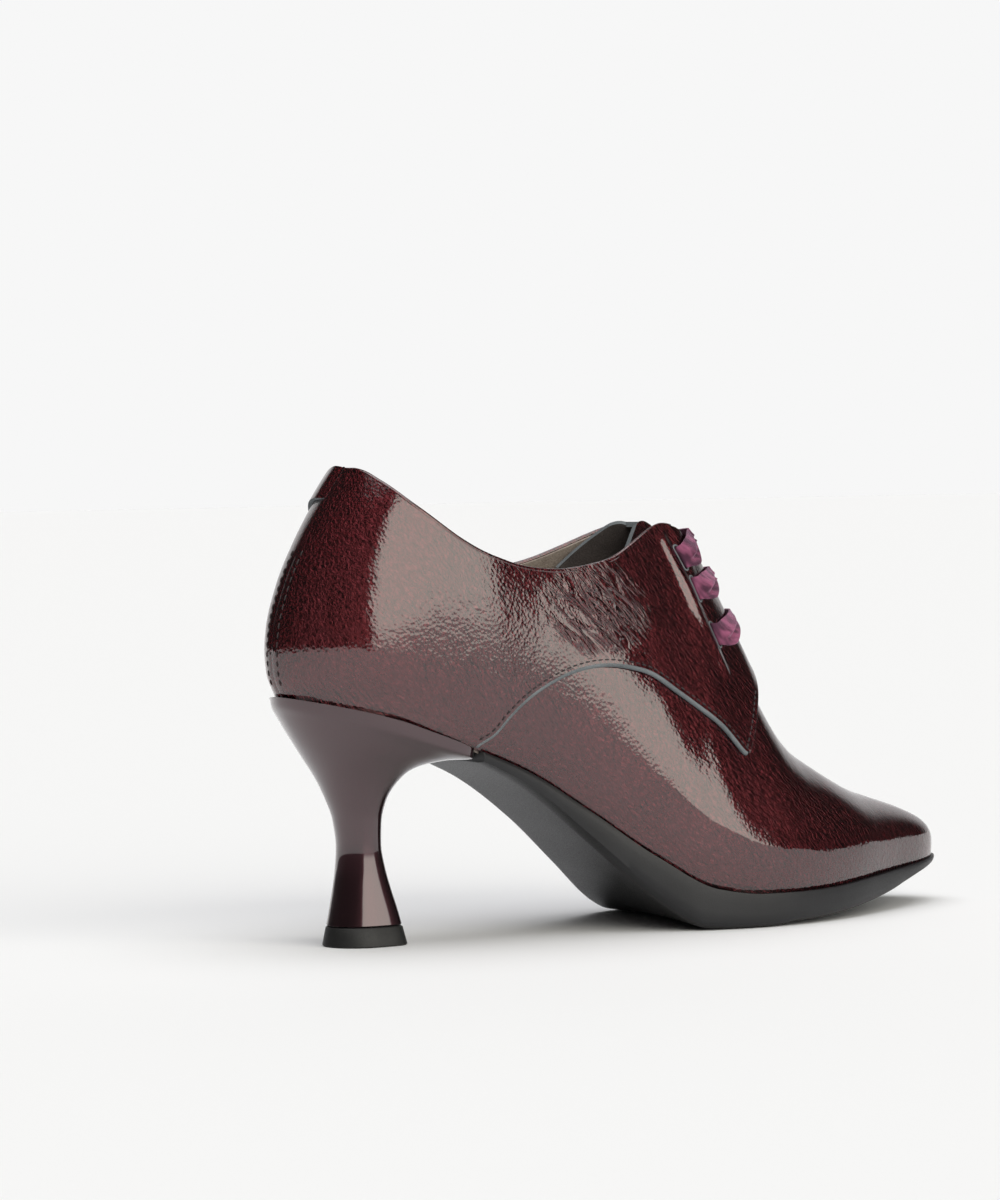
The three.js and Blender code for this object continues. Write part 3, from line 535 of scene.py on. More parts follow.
def mesh_object(name, points, polys, materials, merge=0.02, sharp=None):
    """Object of a mesh given in model millimetres."""
    mesh = bpy.data.meshes.new(name)
    used = sorted({k for poly in polys for k in poly})
    number = {k: i for i, k in enumerate(used)}
    place = (np.asarray(points)[used] - ORIGIN) * MM
    mesh.from_pydata(place.tolist(), [], [[number[k] for k in poly] for poly in polys])
    bm = bmesh.new()
    bm.from_mesh(mesh)
    bmesh.ops.remove_doubles(bm, verts=bm.verts, dist=merge * MM)
    bmesh.ops.dissolve_degenerate(bm, edges=bm.edges, dist=0.002 * MM)
    bm.to_mesh(mesh)
    bm.free()
    for material in materials:
        mesh.materials.append(material)
    mesh.shade_smooth()
    if sharp is not None:
        mesh.set_sharp_from_angle(angle=math.radians(sharp))
    obj = bpy.data.objects.new(name, mesh)
    bpy.context.scene.collection.objects.link(obj)
    return obj


def apply_modifiers(obj, sharp=None):
    graph = bpy.context.evaluated_depsgraph_get()
    mesh = bpy.data.meshes.new_from_object(obj.evaluated_get(graph))
    obj.modifiers.clear()
    old = obj.data
    obj.data = mesh
    bpy.data.meshes.remove(old)
    mesh.shade_smooth()
    if sharp is not None:
        mesh.set_sharp_from_angle(angle=math.radians(sharp))
    return obj


def thicken(obj, thickness, rim=None, inner=None):
    """Gives a sheet its thickness, inward. Rim and inner are material slots."""
    modifier = obj.modifiers.new("thickness", "SOLIDIFY")
    modifier.thickness = thickness * MM
    modifier.offset = -1
    modifier.use_even_offset = False
    if rim is not None:
        modifier.material_offset_rim = rim
    if inner is not None:
        modifier.material_offset = inner
    return apply_modifiers(obj, sharp=50)


def loft_object(name, rings, materials, sharp=None, lids=True):
    count = len(rings[0])
    points = np.concatenate(rings)
    polys = []
    for i in range(len(rings) - 1):
        for j in range(count):
            a, b = i * count + j, i * count + (j + 1) % count
            polys.append((a, b, b + count, a + count))
    if lids:
        polys.append(tuple(range(count))[::-1])
        start = (len(rings) - 1) * count
        polys.append(tuple(range(start, start + count)))
    return mesh_object(name, points, polys, materials, merge=0.005, sharp=sharp)


def tube_object(name, path, radius, materials, facets=8, closed=False):
    """Round tube along a path; radius is a number or one for each point."""
    path = np.asarray(path, float)
    radius = np.broadcast_to(radius, len(path))
    ahead = np.roll(path, -1, 0) - np.roll(path, 1, 0) if closed else np.gradient(path, axis=0)
    ahead /= np.linalg.norm(ahead, axis=1, keepdims=True)
    normal = np.cross(ahead[0], [0.3, 0.2, 0.9])
    rings = []
    for point, way, r in zip(path, ahead, radius):
        normal = normal - way * (normal @ way)
        normal /= np.linalg.norm(normal)
        other = np.cross(way, normal)
        angles = np.linspace(0, 2 * math.pi, facets, endpoint=False)
        ring = np.cos(angles)[:, None] * normal + np.sin(angles)[:, None] * other
        rings.append(point + r * ring)
    if closed:
        rings.append(rings[0])
    return loft_object(name, rings, materials, lids=not closed)


# ---- Materials ----

class Nodes:
    """Short way to write a node tree."""

    def __init__(self, tree):
        self.tree = tree

    def add(self, kind, inputs=None, **settings):
        node = self.tree.nodes.new(kind)
        for key, value in settings.items():
            setattr(node, key, value)
        for key, value in (inputs or {}).items():
            socket = node.inputs[key]
            if isinstance(value, bpy.types.NodeSocket):
                self.tree.links.new(value, socket)
            else:
                socket.default_value = value
        return node

    def math(self, operation, a, b=0.0):
        return self.add("ShaderNodeMath", {0: a, 1: b}, operation=operation).outputs[0]

    def ramp(self, value, low, high, out_low=0.0, out_high=1.0):
        inputs = {"Value": value, "From Min": low, "From Max": high}
        inputs.update({"To Min": out_low, "To Max": out_high})
        return self.add("ShaderNodeMapRange", inputs, interpolation_type="SMOOTHSTEP").outputs[0]

    def mix(self, share, a, b):
        node = self.add("ShaderNodeMix", data_type="RGBA")
        for key, value in (("Factor", share), ("A", a), ("B", b)):
            socket = [s for s in node.inputs if s.name == key and s.enabled][0]
            if isinstance(value, bpy.types.NodeSocket):
                self.tree.links.new(value, socket)
            else:
                socket.default_value = value
        return [s for s in node.outputs if s.enabled][0]

    def noise(self, place, scale, detail=2.0, rough=0.5, distortion=0.0):
        inputs = {"Vector": place, "Scale": scale, "Detail": detail}
        inputs.update({"Roughness": rough, "Distortion": distortion})
        return self.add("ShaderNodeTexNoise", inputs).outputs["Fac"]

    def cells(self, place, scale, smooth):
        inputs = {"Vector": place, "Scale": scale, "Smoothness": smooth}
        return self.add("ShaderNodeTexVoronoi", inputs, feature="SMOOTH_F1").outputs["Distance"]

    def place(self, turn=(0, 0, 0), stretch=(1, 1, 1)):
        source = self.add("ShaderNodeTexCoord").outputs["Object"]
        turned = {"Vector": source, "Rotation": [math.radians(v) for v in turn]}
        flat = self.add("ShaderNodeMapping", turned).outputs[0]
        return self.add("ShaderNodeMapping", {"Vector": flat, "Scale": stretch}).outputs[0]

    def bump(self, height, distance, strength=1.0, normal=None):
        inputs = {"Height": height, "Distance": distance, "Strength": strength}
        if normal is not None:
            inputs["Normal"] = normal
        return self.add("ShaderNodeBump", inputs).outputs[0]


def new_material(name):
    material = bpy.data.materials.new(name)
    material.use_nodes = True
    nodes = Nodes(material.node_tree)
    shader = material.node_tree.nodes["Principled BSDF"]
    return material, nodes, shader


def set_inputs(nodes, shader, **values):
    for key, value in values.items():
        socket = shader.inputs[key.replace("_", " ")]
        if isinstance(value, bpy.types.NodeSocket):
            nodes.tree.links.new(value, socket)
        else:
            socket.default_value = value


def rgb(red, green, blue):
    return (red, green, blue, 1.0)


def lightened(colour, factor):
    return tuple(min(1.0, factor * v + 0.01) for v in colour[:3]) + (1.0,)


# The place that wear has creased, below the collar on the outer side: its middle and its reach
# along X, Y and Z of the frame, in metres
WORN_PLACE = (-0.024, -0.026, 0.093)
WORN_REACH = (0.017, 0.024, 0.0125)


def worn_share(n):
    """Node value that is 1 in the middle of the worn place and 0 away from it."""
    source = n.add("ShaderNodeTexCoord").outputs["Object"]
    away = n.add("ShaderNodeVectorMath", {0: source, 1: WORN_PLACE}, operation="SUBTRACT").outputs[0]
    scaled = n.add("ShaderNodeVectorMath", {0: away, 1: WORN_REACH}, operation="DIVIDE").outputs[0]
    length = n.add("ShaderNodeVectorMath", {0: scaled}, operation="LENGTH").outputs["Value"]
    return n.ramp(length, 0.4, 1.25, 1.0, 0.0)


def patent_material(name, dark, light):
    """Crinkled patent leather: pearly pigment under a thick clear coat."""
    material, n, shader = new_material(name)
    plain = n.place()
    slanted = n.place(turn=(0, 38, 0), stretch=(1.0, 1.0, 0.4))
    waves = n.noise(plain, 110, detail=2.0, rough=0.5, distortion=0.4)
    folds = n.noise(slanted, 560, detail=3.0, rough=0.6, distortion=1.0)
    cells = n.cells(plain, 1000, 0.4)
    grain = n.noise(slanted, 1150, detail=2.0, rough=0.5, distortion=0.6)
    height = n.math("ADD", n.math("MULTIPLY", folds, 0.8), n.math("MULTIPLY", cells, 0.6))
    broad = n.bump(waves, 0.0010, 0.10)
    pebbled = n.bump(height, 0.00015, 0.36, broad)
    steep = n.place(turn=(0, 44, 0), stretch=(1.0, 1.0, 0.24))
    streaks = n.noise(steep, 430, detail=3.0, rough=0.55, distortion=0.9)
    ridges = n.ramp(streaks, 0.40, 0.62)
    wrinkled = n.bump(n.math("MULTIPLY", ridges, worn_share(n)), 0.0010, 0.85, pebbled)
    pigment = n.bump(grain, 0.0009, 1.0, wrinkled)
    fleck = n.ramp(n.noise(slanted, 1300, detail=3.0, rough=0.6, distortion=0.8), 0.42, 0.68)
    cloud = n.ramp(n.noise(plain, 60, detail=2.0), 0.3, 0.7, 0.0, 0.5)
    share = n.math("ADD", n.math("MULTIPLY", fleck, 0.35), n.math("MULTIPLY", cloud, 0.25))
    colour = n.mix(share, dark, light)
    set_inputs(n, shader, Base_Color=colour, Normal=pigment, Coat_Normal=wrinkled)
    set_inputs(n, shader, Metallic=1.0, Roughness=0.28, Specular_Tint=rgb(0.3, 0.08, 0.1))
    set_inputs(n, shader, Coat_Weight=1.0, Coat_Roughness=0.02, Coat_IOR=1.8)
    return material


def lacquer_material():
    material, n, shader = new_material("heel_lacquer")
    plain = n.place()
    waves = n.noise(plain, 70, detail=2.0)
    fleck = n.ramp(n.noise(plain, 2400, detail=2.0), 0.4, 0.7)
    colour = n.mix(n.math("MULTIPLY", fleck, 0.15), rgb(0.05, 0.019, 0.024), rgb(0.07, 0.026, 0.032))
    set_inputs(n, shader, Base_Color=colour, Normal=n.bump(waves, 0.0003, 0.3))
    set_inputs(n, shader, Metallic=0.9, Roughness=0.3)
    set_inputs(n, shader, Coat_Weight=1.0, Coat_Roughness=0.03, Coat_IOR=1.75)
    return material


def rubber_material(name, colour, rough, grain):
    material, n, shader = new_material(name)
    plain = n.place()
    fine = n.noise(plain, grain, detail=3.0, rough=0.6)
    cloud = n.noise(plain, 40, detail=3.0)
    tone = n.mix(n.ramp(cloud, 0.3, 0.75, 0.0, 0.5), colour, lightened(colour, 1.5))
    roughness = n.ramp(fine, 0.3, 0.7, rough - 0.06, rough + 0.08)
    set_inputs(n, shader, Base_Color=tone, Roughness=roughness, Normal=n.bump(fine, 0.0001, 0.35))
    shader.inputs["Specular IOR Level"].default_value = 0.4
    return material


def leather_material(name, dark, light, scale, rough=0.75):
    """Matte leather, split or lining, with pores."""
    material, n, shader = new_material(name)
    plain = n.place()
    cells = n.cells(plain, scale, 0.3)
    nap = n.noise(plain, 2.2 * scale, detail=3.0, rough=0.7)
    cloud = n.noise(plain, 90, detail=3.0)
    tone = n.mix(n.ramp(n.math("ADD", nap, n.math("MULTIPLY", cloud, 0.6)), 0.5, 1.1), dark, light)
    height = n.math("ADD", cells, n.math("MULTIPLY", nap, 0.5))
    set_inputs(n, shader, Base_Color=tone, Normal=n.bump(height, 0.0003, 0.5), Roughness=rough)
    return material


def velvet_material():
    material, n, shader = new_material("ribbon_velvet")
    plain = n.place()
    pile = n.noise(plain, 3200, detail=2.0, rough=0.6)
    brush = n.noise(n.place(turn=(0, 40, 20), stretch=(1.0, 1.0, 0.3)), 380, detail=2.0)
    tone = n.mix(n.ramp(brush, 0.35, 0.7), rgb(0.060, 0.014, 0.036), rgb(0.27, 0.072, 0.145))
    set_inputs(n, shader, Base_Color=tone, Normal=n.bump(pile, 0.00025, 0.7), Roughness=0.95)
    set_inputs(n, shader, Sheen_Weight=0.6, Sheen_Roughness=0.35, Sheen_Tint=rgb(0.95, 0.62, 0.85))
    return material


def thread_material(name, colour):
    material, n, shader = new_material(name)
    twist = n.noise(n.place(), 5200, detail=1.0)
    tone = n.mix(n.ramp(twist, 0.35, 0.65), colour, lightened(colour, 1.9))
    set_inputs(n, shader, Base_Color=tone, Normal=n.bump(twist, 0.0001, 0.8), Roughness=0.65)
    return material


PATENT = patent_material(
    "patent_leather", rgb(0.060, 0.0095, 0.0115), rgb(0.148, 0.031, 0.038))
LACQUER = lacquer_material()
SOLE_RUBBER = rubber_material("sole_rubber", rgb(0.010, 0.010, 0.0115), 0.42, 2600)
LIFT_RUBBER = rubber_material("lift_rubber", rgb(0.011, 0.011, 0.011), 0.5, 2200)
CUT_EDGE = leather_material("cut_edge", rgb(0.05, 0.06, 0.065), rgb(0.20, 0.22, 0.235), 2400)
LINING = leather_material("lining_leather", rgb(0.19, 0.15, 0.125), rgb(0.42, 0.36, 0.31), 1500)
SOCK = leather_material("sock_leather", rgb(0.2, 0.165, 0.14), rgb(0.44, 0.38, 0.33), 1200)
TONGUE_SUEDE = leather_material(
    "tongue_suede", rgb(0.028, 0.023, 0.022), rgb(0.10, 0.084, 0.08), 1800)
VELVET = velvet_material()
THREAD = thread_material("thread_dark", rgb(0.014, 0.008, 0.009))
THREAD_GREY = thread_material("thread_grey", rgb(0.1, 0.11, 0.115))


def finish_piece(obj, slot, *nodes):
    """Puts an object on the root body and hides the CAD nodes that it stands for. The slot is not
    used.
    """
    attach(obj, "root")
    if nodes:
        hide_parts(*nodes)
    return obj


def sheet_piece(name, sheets, materials, thickness, slot, *nodes, **material_slots):
    """One piece of joined sheets, thickened inward."""
    whole = join(*sheets)
    obj = mesh_object(name, whole.points, whole.polys, materials)
    return finish_piece(thicken(obj, thickness, **material_slots), slot, *nodes)


# ---- Upper ----

def seam_shape(points, x, t):
    """Back seam and the main creases."""
    below_tab = smooth_step(112, 108, points[..., 2])
    seam = 0.28 * np.exp(-((points[..., 1] / 0.7) ** 2)) * (x < BACK_CAP / 2) * below_tab
    return crease_shift(points) - seam


def vamp_shape(points, x, t):
    """The main creases alone."""
    return crease_shift(points)


def make_vamp():
    xs = cap_stations(30.0, LAST_LENGTH, 150)
    ts = heights(14, 64)
    outline = quarter_outline()
    sheets = []
    for side in (-1, 1):
        sheet = side_sheet(xs, ts, side, vamp_grow, vamp_shape)
        sheet.fields["inside"] = -12 - outline_distance(sheet.points, outline)
        sheet.fields["throat"] = in_throat(sheet.points)
        sheets.append(sheet.cut("inside").cut("throat"))
        sheets.append(margin_sheet(xs, side, vamp_grow))
    sheets.append(ridge_strip(xs, vamp_grow))
    sheet_piece("vamp", sheets, [PATENT, CUT_EDGE], VAMP_LEATHER, "patent_leather", rim=1)


def margin_sheet(xs, side, grow):
    """Lasting margin: the leather turned in under the feather line."""
    rows = []
    for inset, drop in ((0.0, 0.0), (0.5, 0.2), (2.5, 0.25)):
        point = last_point(xs, 0.0, side, grow(xs, 0 * xs) - inset)
        point[:, 2] -= drop
        rows.append(point)
    points = np.stack(rows, 1).reshape(-1, 3)
    return Sheet(points, grid_polys(len(xs), len(rows), side < 0), {})


def ridge_strip(xs, grow):
    """Top of the sections where the ridge is flat, from side to side."""
    left = last_point(xs, 1.0, -1, grow(xs, 1 + 0 * xs))
    right = last_point(xs, 1.0, 1, grow(xs, 1 + 0 * xs))
    sheet = bridge(left, right, 9)
    sheet.fields["throat"] = in_throat(sheet.points)
    sheet.fields["back"] = THROAT["at"][-1] * LAST_LENGTH - sheet.points[:, 0]
    return sheet.cut("back").cut("throat")


def make_quarters():
    xs = cap_stations(0.0, 0.665 * LAST_LENGTH, 230)
    ts = heights(14, 110)
    outline = quarter_outline()
    slots = [slot_frame(k, side) for k in range(3) for side in (-1, 1)]
    sheets = []
    for side in (-1, 1):
        sheet = side_sheet(xs, ts, side, quarter_grow, seam_shape)
        sheet.fields["edge"] = outline_distance(sheet.points, outline)
        sheet.fields["collar"] = over_collar(sheet.points, side)
        sheet.fields["throat"] = in_throat(sheet.points)
        holes = [slot_field(sheet.points, slot) for slot in slots if slot["side"] == side]
        sheet.fields["slots"] = np.maximum.reduce(holes)
        sheets.append(sheet.cut("edge").cut("collar").cut("throat").cut("slots"))
        back = xs[xs < 0.25 * LAST_LENGTH]
        margin = margin_sheet(back, side, quarter_grow)
        margin.fields["edge"] = outline_distance(margin.points, outline)
        sheets.append(margin.cut("edge"))
    materials = [PATENT, CUT_EDGE]
    sheet_piece("quarters", sheets, materials, QUARTER_LEATHER, "patent_leather", "upper", rim=1)


def lining_shape(outline):
    """Depth of the lining: against the quarters at the collar, under the vamp in front."""
    def depth(points, x, t):
        front = smooth_step(-21, -14, outline_distance(points, outline))
        under_quarter = quarter_grow(x, t) - 1.4
        return under_quarter + (vamp_grow(x, t) - 1.2 - under_quarter) * front
    return depth


def make_lining():
    xs = cap_stations(0.0, LAST_LENGTH, 120)
    ts = heights(10, 70)
    shape = lining_shape(quarter_outline())
    sheets = []
    for side in (-1, 1):
        sheet = side_sheet(xs, ts, side, lambda x, t: 0 * x, shape)
        sheet.fields["collar"] = over_collar(sheet.points, side) + 0.25
        sheet.fields["throat"] = in_throat(sheet.points)
        sheet.fields["front"] = sheet.points[:, 0] - 0.86 * LAST_LENGTH
        sheets.append(sheet.cut("front").cut("collar").cut("throat"))
    sheet_piece("lining", sheets, [LINING], LINING_LEATHER, "sock_lining")


def collar_path(side, grow, sink):
    """The collar's line on one side, sunk into the leather."""
    line = collar_line(side)
    keep = (line[:, 0] > 14) & (line[:, 0] < 0.545 * LAST_LENGTH)
    x, t = locate(line[keep, 0], line[keep, 1], side, grow)
    here, out = surface_frame(x[x > 0.35], t[x > 0.35], side, grow)
    return here - sink * out


def make_collar_fold():
    """Leather folded over the collar's edge."""
    outer, inner = (collar_path(side, quarter_grow, 0.7) for side in (-1, 1))
    path = np.concatenate([outer[::-1], inner])
    smooth = resampled(path, int(path_lengths(path)[-1] / 1.2))
    obj = tube_object("collar_fold", smooth, 0.78, [PATENT], facets=12)
    finish_piece(obj, "patent_leather")


def surface_tube(name, line, side, sink, radius, material, facets=10):
    """Tube along a line in side view, sunk into the quarter's surface."""
    here, out = on_quarter(line, side)
    obj = tube_object(name, here - sink * out, radius, [material], facets)
    finish_piece(obj, "patent_leather")


def make_quarter_edges():
    """The quarters' raw lower edge and the folded front edge of the facings."""
    line = quarter_line()
    line = resampled(line, int(path_lengths(line)[-1] / 0.9) + 2)
    tip = int(np.argmax(line[:, 0] > 0.5975 * LAST_LENGTH))
    low = line[:tip]
    low = low[low[:, 1] > feather_height(low[:, 0]) - 0.5]
    front = line[tip:]
    front = front[front[:, 1] < ridge_height(front[:, 0]) - 1.5]
    for side, name in ((-1, "outer"), (1, "inner")):
        surface_tube(f"raw_edge_{name}", low, side, 0.62, 0.72, CUT_EDGE, 12)
        surface_tube(f"facing_edge_{name}", front, side, 0.55, 0.6, PATENT)


# ---- Lace slots ----

def facing_point(x, t, side):
    return last_point(x, t, side, quarter_grow(np.asarray(x, float), np.asarray(t, float)))


def t_at_height(x, height, side):
    foot = feather_height(x)
    z = foot + height * (ridge_height(x) - foot)
    return float(t_at_level(np.array([x]), z, side, lambda a, b: 0 * a)[0])


def facing_frame(x, t, side):
    forward = facing_point(x + 1, t, side) - facing_point(x - 1, t, side)
    uphill = facing_point(x, t, side) - facing_point(x, t - 0.01, side)
    out = np.cross(forward, uphill) * -side
    out /= np.linalg.norm(out)
    ends = []
    for k in (0, -1):
        slot_x = SLOTS["at"][k] * LAST_LENGTH
        ends.append(facing_point(slot_x, t_at_height(slot_x, SLOTS["height"][k], side), side))
    row = ends[1] - ends[0]
    along = row - out * (row @ out)
    along /= np.linalg.norm(along)
    return out, along, np.cross(along, out) * side


def slot_frame(index, side):
    x = SLOTS["at"][index] * LAST_LENGTH
    t = t_at_height(x, SLOTS["height"][index], side)
    out, along, across = facing_frame(x, t, side)
    slot = {"x": x, "side": side, "centre": facing_point(x, t, side)}
    slot.update({"out": out, "along": along, "across": across})
    return slot


def slot_field(points, slot):
    """Above zero inside a lace slot."""
    away = points - slot["centre"]
    along = np.abs(away @ slot["along"])
    across = np.abs(away @ slot["across"])
    distance = np.hypot(np.maximum(0, along - SLOT_STRAIGHT), across)
    deep = np.abs(away @ slot["out"]) - 4
    return np.minimum(SLOT_WIDTH / 2 - distance, -deep)


def make_slot_rims():
    for index in range(3):
        for side in (-1, 1):
            slot = slot_frame(index, side)
            angle = np.linspace(0, 2 * math.pi, 28, endpoint=False)
            u = np.copysign(SLOT_STRAIGHT, np.cos(angle)) + SLOT_WIDTH / 2 * np.cos(angle)
            v = SLOT_WIDTH / 2 * np.sin(angle)
            flat = slot["centre"] + u[:, None] * slot["along"] + v[:, None] * slot["across"]
            x, t = locate(flat[:, 0], flat[:, 2], side, quarter_grow)
            here, out = surface_frame(x, t, side, quarter_grow)
            ring = here - 0.12 * out
            name = f"slot_edge_{index + 1}_{'outer' if side < 0 else 'inner'}"
            rim = tube_object(name, ring, 0.3, [CUT_EDGE], closed=True)
            finish_piece(rim, "patent_leather")


# ---- Stitches ----

def path_lengths(points):
    """Length along a path at each of its points."""
    return np.concatenate([[0], np.cumsum(np.linalg.norm(np.diff(points, axis=0), axis=1))])


def resampled(points, count):
    """The same path with a count of evenly spaced points."""
    length = path_lengths(points)
    even = np.linspace(0, length[-1], count)
    return np.stack([np.interp(even, length, column) for column in points.T], -1)


def stitch_row(points, normals, pitch=2.3, share=0.72, radius=0.24):
    """Points and faces of a row of stitches on a surface."""
    length = path_lengths(points)
    count = max(2, int(round(length[-1] / pitch)))
    even = (np.arange(count) + 0.5) * length[-1] / count
    made_points, made_polys = [], []
    facets = 6
    profile = ((-0.5, 0.15), (-0.42, 0.8), (-0.2, 1.0), (0.2, 1.0), (0.42, 0.8), (0.5, 0.15))
    for place in even:
        def at(value, rows):
            return np.array([np.interp(value, length, rows[:, k]) for k in range(3)])
        centre, normal = at(place, points), at(place, normals)
        way = at(place + 0.3, points) - at(place - 0.3, points)
        way /= np.linalg.norm(way)
        normal = normal - way * (normal @ way)
        normal /= np.linalg.norm(normal)
        other = np.cross(way, normal)
        start = len(made_points)
        for along, size in profile:
            sink = 0.22 * (abs(along) / 0.5) ** 2
            middle = centre + way * along * pitch * share + normal * (0.1 - sink)
            for k in range(facets):
                angle = 2 * math.pi * k / facets
                ring = normal * math.cos(angle) + other * math.sin(angle)
                made_points.append(middle + ring * radius * size)
        for i in range(len(profile) - 1):
            for k in range(facets):
                a, b = start + i * facets + k, start + i * facets + (k + 1) % facets
                made_polys.append((a, b, b + facets, a + facets))
        made_polys.append(tuple(start + k for k in range(facets))[::-1])
        last = start + (len(profile) - 1) * facets
        made_polys.append(tuple(last + k for k in range(facets)))
    return made_points, made_polys


def stitches_object(name, rows, material, **settings):
    points, polys = [], []
    for row_points, row_normals in rows:
        more, faces = stitch_row(row_points, row_normals, **settings)
        polys += [tuple(k + len(points) for k in face) for face in faces]
        points += more
    obj = mesh_object(name, np.array(points), polys, [material], merge=0.0001)
    return finish_piece(obj, "patent_leather")


def offset_line(line, distance):
    """Line in side view moved to its left."""
    way = np.gradient(line, axis=0)
    way /= np.linalg.norm(way, axis=1, keepdims=True)
    return line + distance * np.stack([-way[:, 1], way[:, 0]], -1)


def on_quarter(line, side):
    x, t = locate(line[:, 0], line[:, 1], side, quarter_grow)
    return surface_frame(x, t, side, quarter_grow)


def make_stitches():
    edge_rows = []
    line = offset_line(quarter_line(), 1.35)
    keep = (line[:, 0] > 0.212 * LAST_LENGTH) & (line[:, 1] < ridge_height(line[:, 0]) - 16)
    turned = line[keep & (line[:, 1] > feather_height(line[:, 0]) + 1.5)]
    for side in (-1, 1):
        edge_rows.append(on_quarter(turned, side))
    stitches_object("quarter_edge_stitches", edge_rows, THREAD, pitch=2.1)

    back_rows = []
    for side in (-1, 1):
        z = np.linspace(SEAT_HEIGHT + 3, SEAT_HEIGHT + 0.64 * COLLAR_HEIGHT, 60)
        x = np.full_like(z, 0.32)
        t = t_at_level(x, z, side, quarter_grow)
        back_rows.append(surface_frame(x, t, side, quarter_grow))
    stitches_object("back_seam_stitches", back_rows, THREAD, pitch=2.6)


# ---- Tab, tongue, insole ----

def tab_shape(points, x, t):
    """The tab stands over the quarter, and its outer edge dips into the leather."""
    return (TAB_STEP + 0.35) * smooth_step(-3.0, 4.5, points[..., 1]) - 0.35


def tab_grow(x, t):
    return quarter_grow(x, t) + TAB_STEP


def make_tab():
    xs = cap_stations(0.0, 60.0, 160)
    ts = heights(4, 150)
    outline = side_line(TAB, "rise", 80)
    sheets = []
    for side in (-1, 1):
        sheet = side_sheet(xs, ts, side, quarter_grow, tab_shape)
        sheet.fields["edge"] = outline_distance(sheet.points, outline)
        if side < 0:
            sheet.fields["edge"] = np.maximum(sheet.fields["edge"], sheet.fields["x"] - 0.04)
        sheet.fields["collar"] = over_collar(sheet.points, side) - 0.3
        sheets.append(sheet.cut("edge").cut("collar"))
    sheet_piece("back_tab", sheets, [PATENT, CUT_EDGE], VAMP_LEATHER, "patent_leather", rim=1)
    line = offset_line(outline, 1.8)
    keep = (line[:, 0] > 19) & (line[:, 1] < SEAT_HEIGHT + 0.9 * COLLAR_HEIGHT)
    x, t = locate(line[keep, 0], line[keep, 1], 1, tab_grow)
    here, out = surface_frame(x, t, 1, tab_grow)
    under = over_collar(here, 1) < -1.5
    stitches_object("back_tab_stitches", [(here[under], out[under])], THREAD_GREY, pitch=2.0)


def tongue_grow(x, t):
    room = 1 - smooth_step(0.615 * LAST_LENGTH, 0.655 * LAST_LENGTH, x)
    return -(UPPER_WALL + GAP + (TONGUE_DEPTH - UPPER_WALL - GAP) * room) + 0 * t


def make_tongue():
    xs = np.linspace(0.44 * LAST_LENGTH, 0.69 * LAST_LENGTH, 90)
    ts = heights(2, 110)
    outline = side_line(TONGUE_OUTLINE, "rise", 80)
    sheets = []
    for side in (-1, 1):
        sheet = side_sheet(xs, ts, side, tongue_grow)
        sheet.fields["edge"] = outline_distance(sheet.points, outline)
        sheets.append(sheet.cut("edge"))
    left = last_point(xs, 1.0, -1, tongue_grow(xs, 1 + 0 * xs))
    right = last_point(xs, 1.0, 1, tongue_grow(xs, 1 + 0 * xs))
    strip = bridge(left, right, 12)
    strip.fields["edge"] = outline_distance(strip.points, outline)
    sheets.append(strip.cut("edge"))
    materials = [PATENT, CUT_EDGE, TONGUE_SUEDE]
    sheet_piece("tongue_leather", sheets, materials, TONGUE_THICKNESS, "tongue_leather", "tongue",
                rim=1, inner=2)


def make_insole():
    xs = cap_stations(0.0, LAST_LENGTH, 90)
    grow = vamp_grow(xs, 0 * xs) - UPPER_WALL - 0.2
    outer = last_point(xs, 0.0, -1, grow)
    inner = last_point(xs, 0.0, 1, grow)
    rows, rise = 40, 1.2
    sheet = bridge(outer, inner, rows)
    dome = 1 - (2 * np.linspace(0, 1, rows) - 1) ** 6
    sheet.points[:, 2] += np.tile(INSOLE_THICKNESS - rise + rise * dome, len(xs))
    sheet_piece("sock", [sheet], [SOCK], 2.0, "sock_lining", "insole")


# ---- Outsole, heel and top lift ----

def tread_height(x, side):
    """Height of the sole's underside, with a soft limit that keeps it above the floor."""
    at = x / LAST_LENGTH
    thickness = column_at(SOLE, "thick_out" if side < 0 else "thick_in", at)
    arch = feather_height(x) - GAP - SOLE_THICKNESS * thickness
    arch = (arch + np.sqrt(arch * arch + 5)) / 2
    return arch + TREAD_SPRING * column_at(SOLE, "rise", at)


# Side of the sole from its top edge down: inset in bevels and drop in thicknesses
SOLE_SIDE = (
    (0.0, 0.0), (-0.06, 0.06), (-0.12, 0.30), (-0.08, 0.60), (0.0, 0.84), (0.28, 0.93), (1.0, 1.0),
)
GROOVE_PITCH = 6.0
GROOVE_DEPTH = 0.9


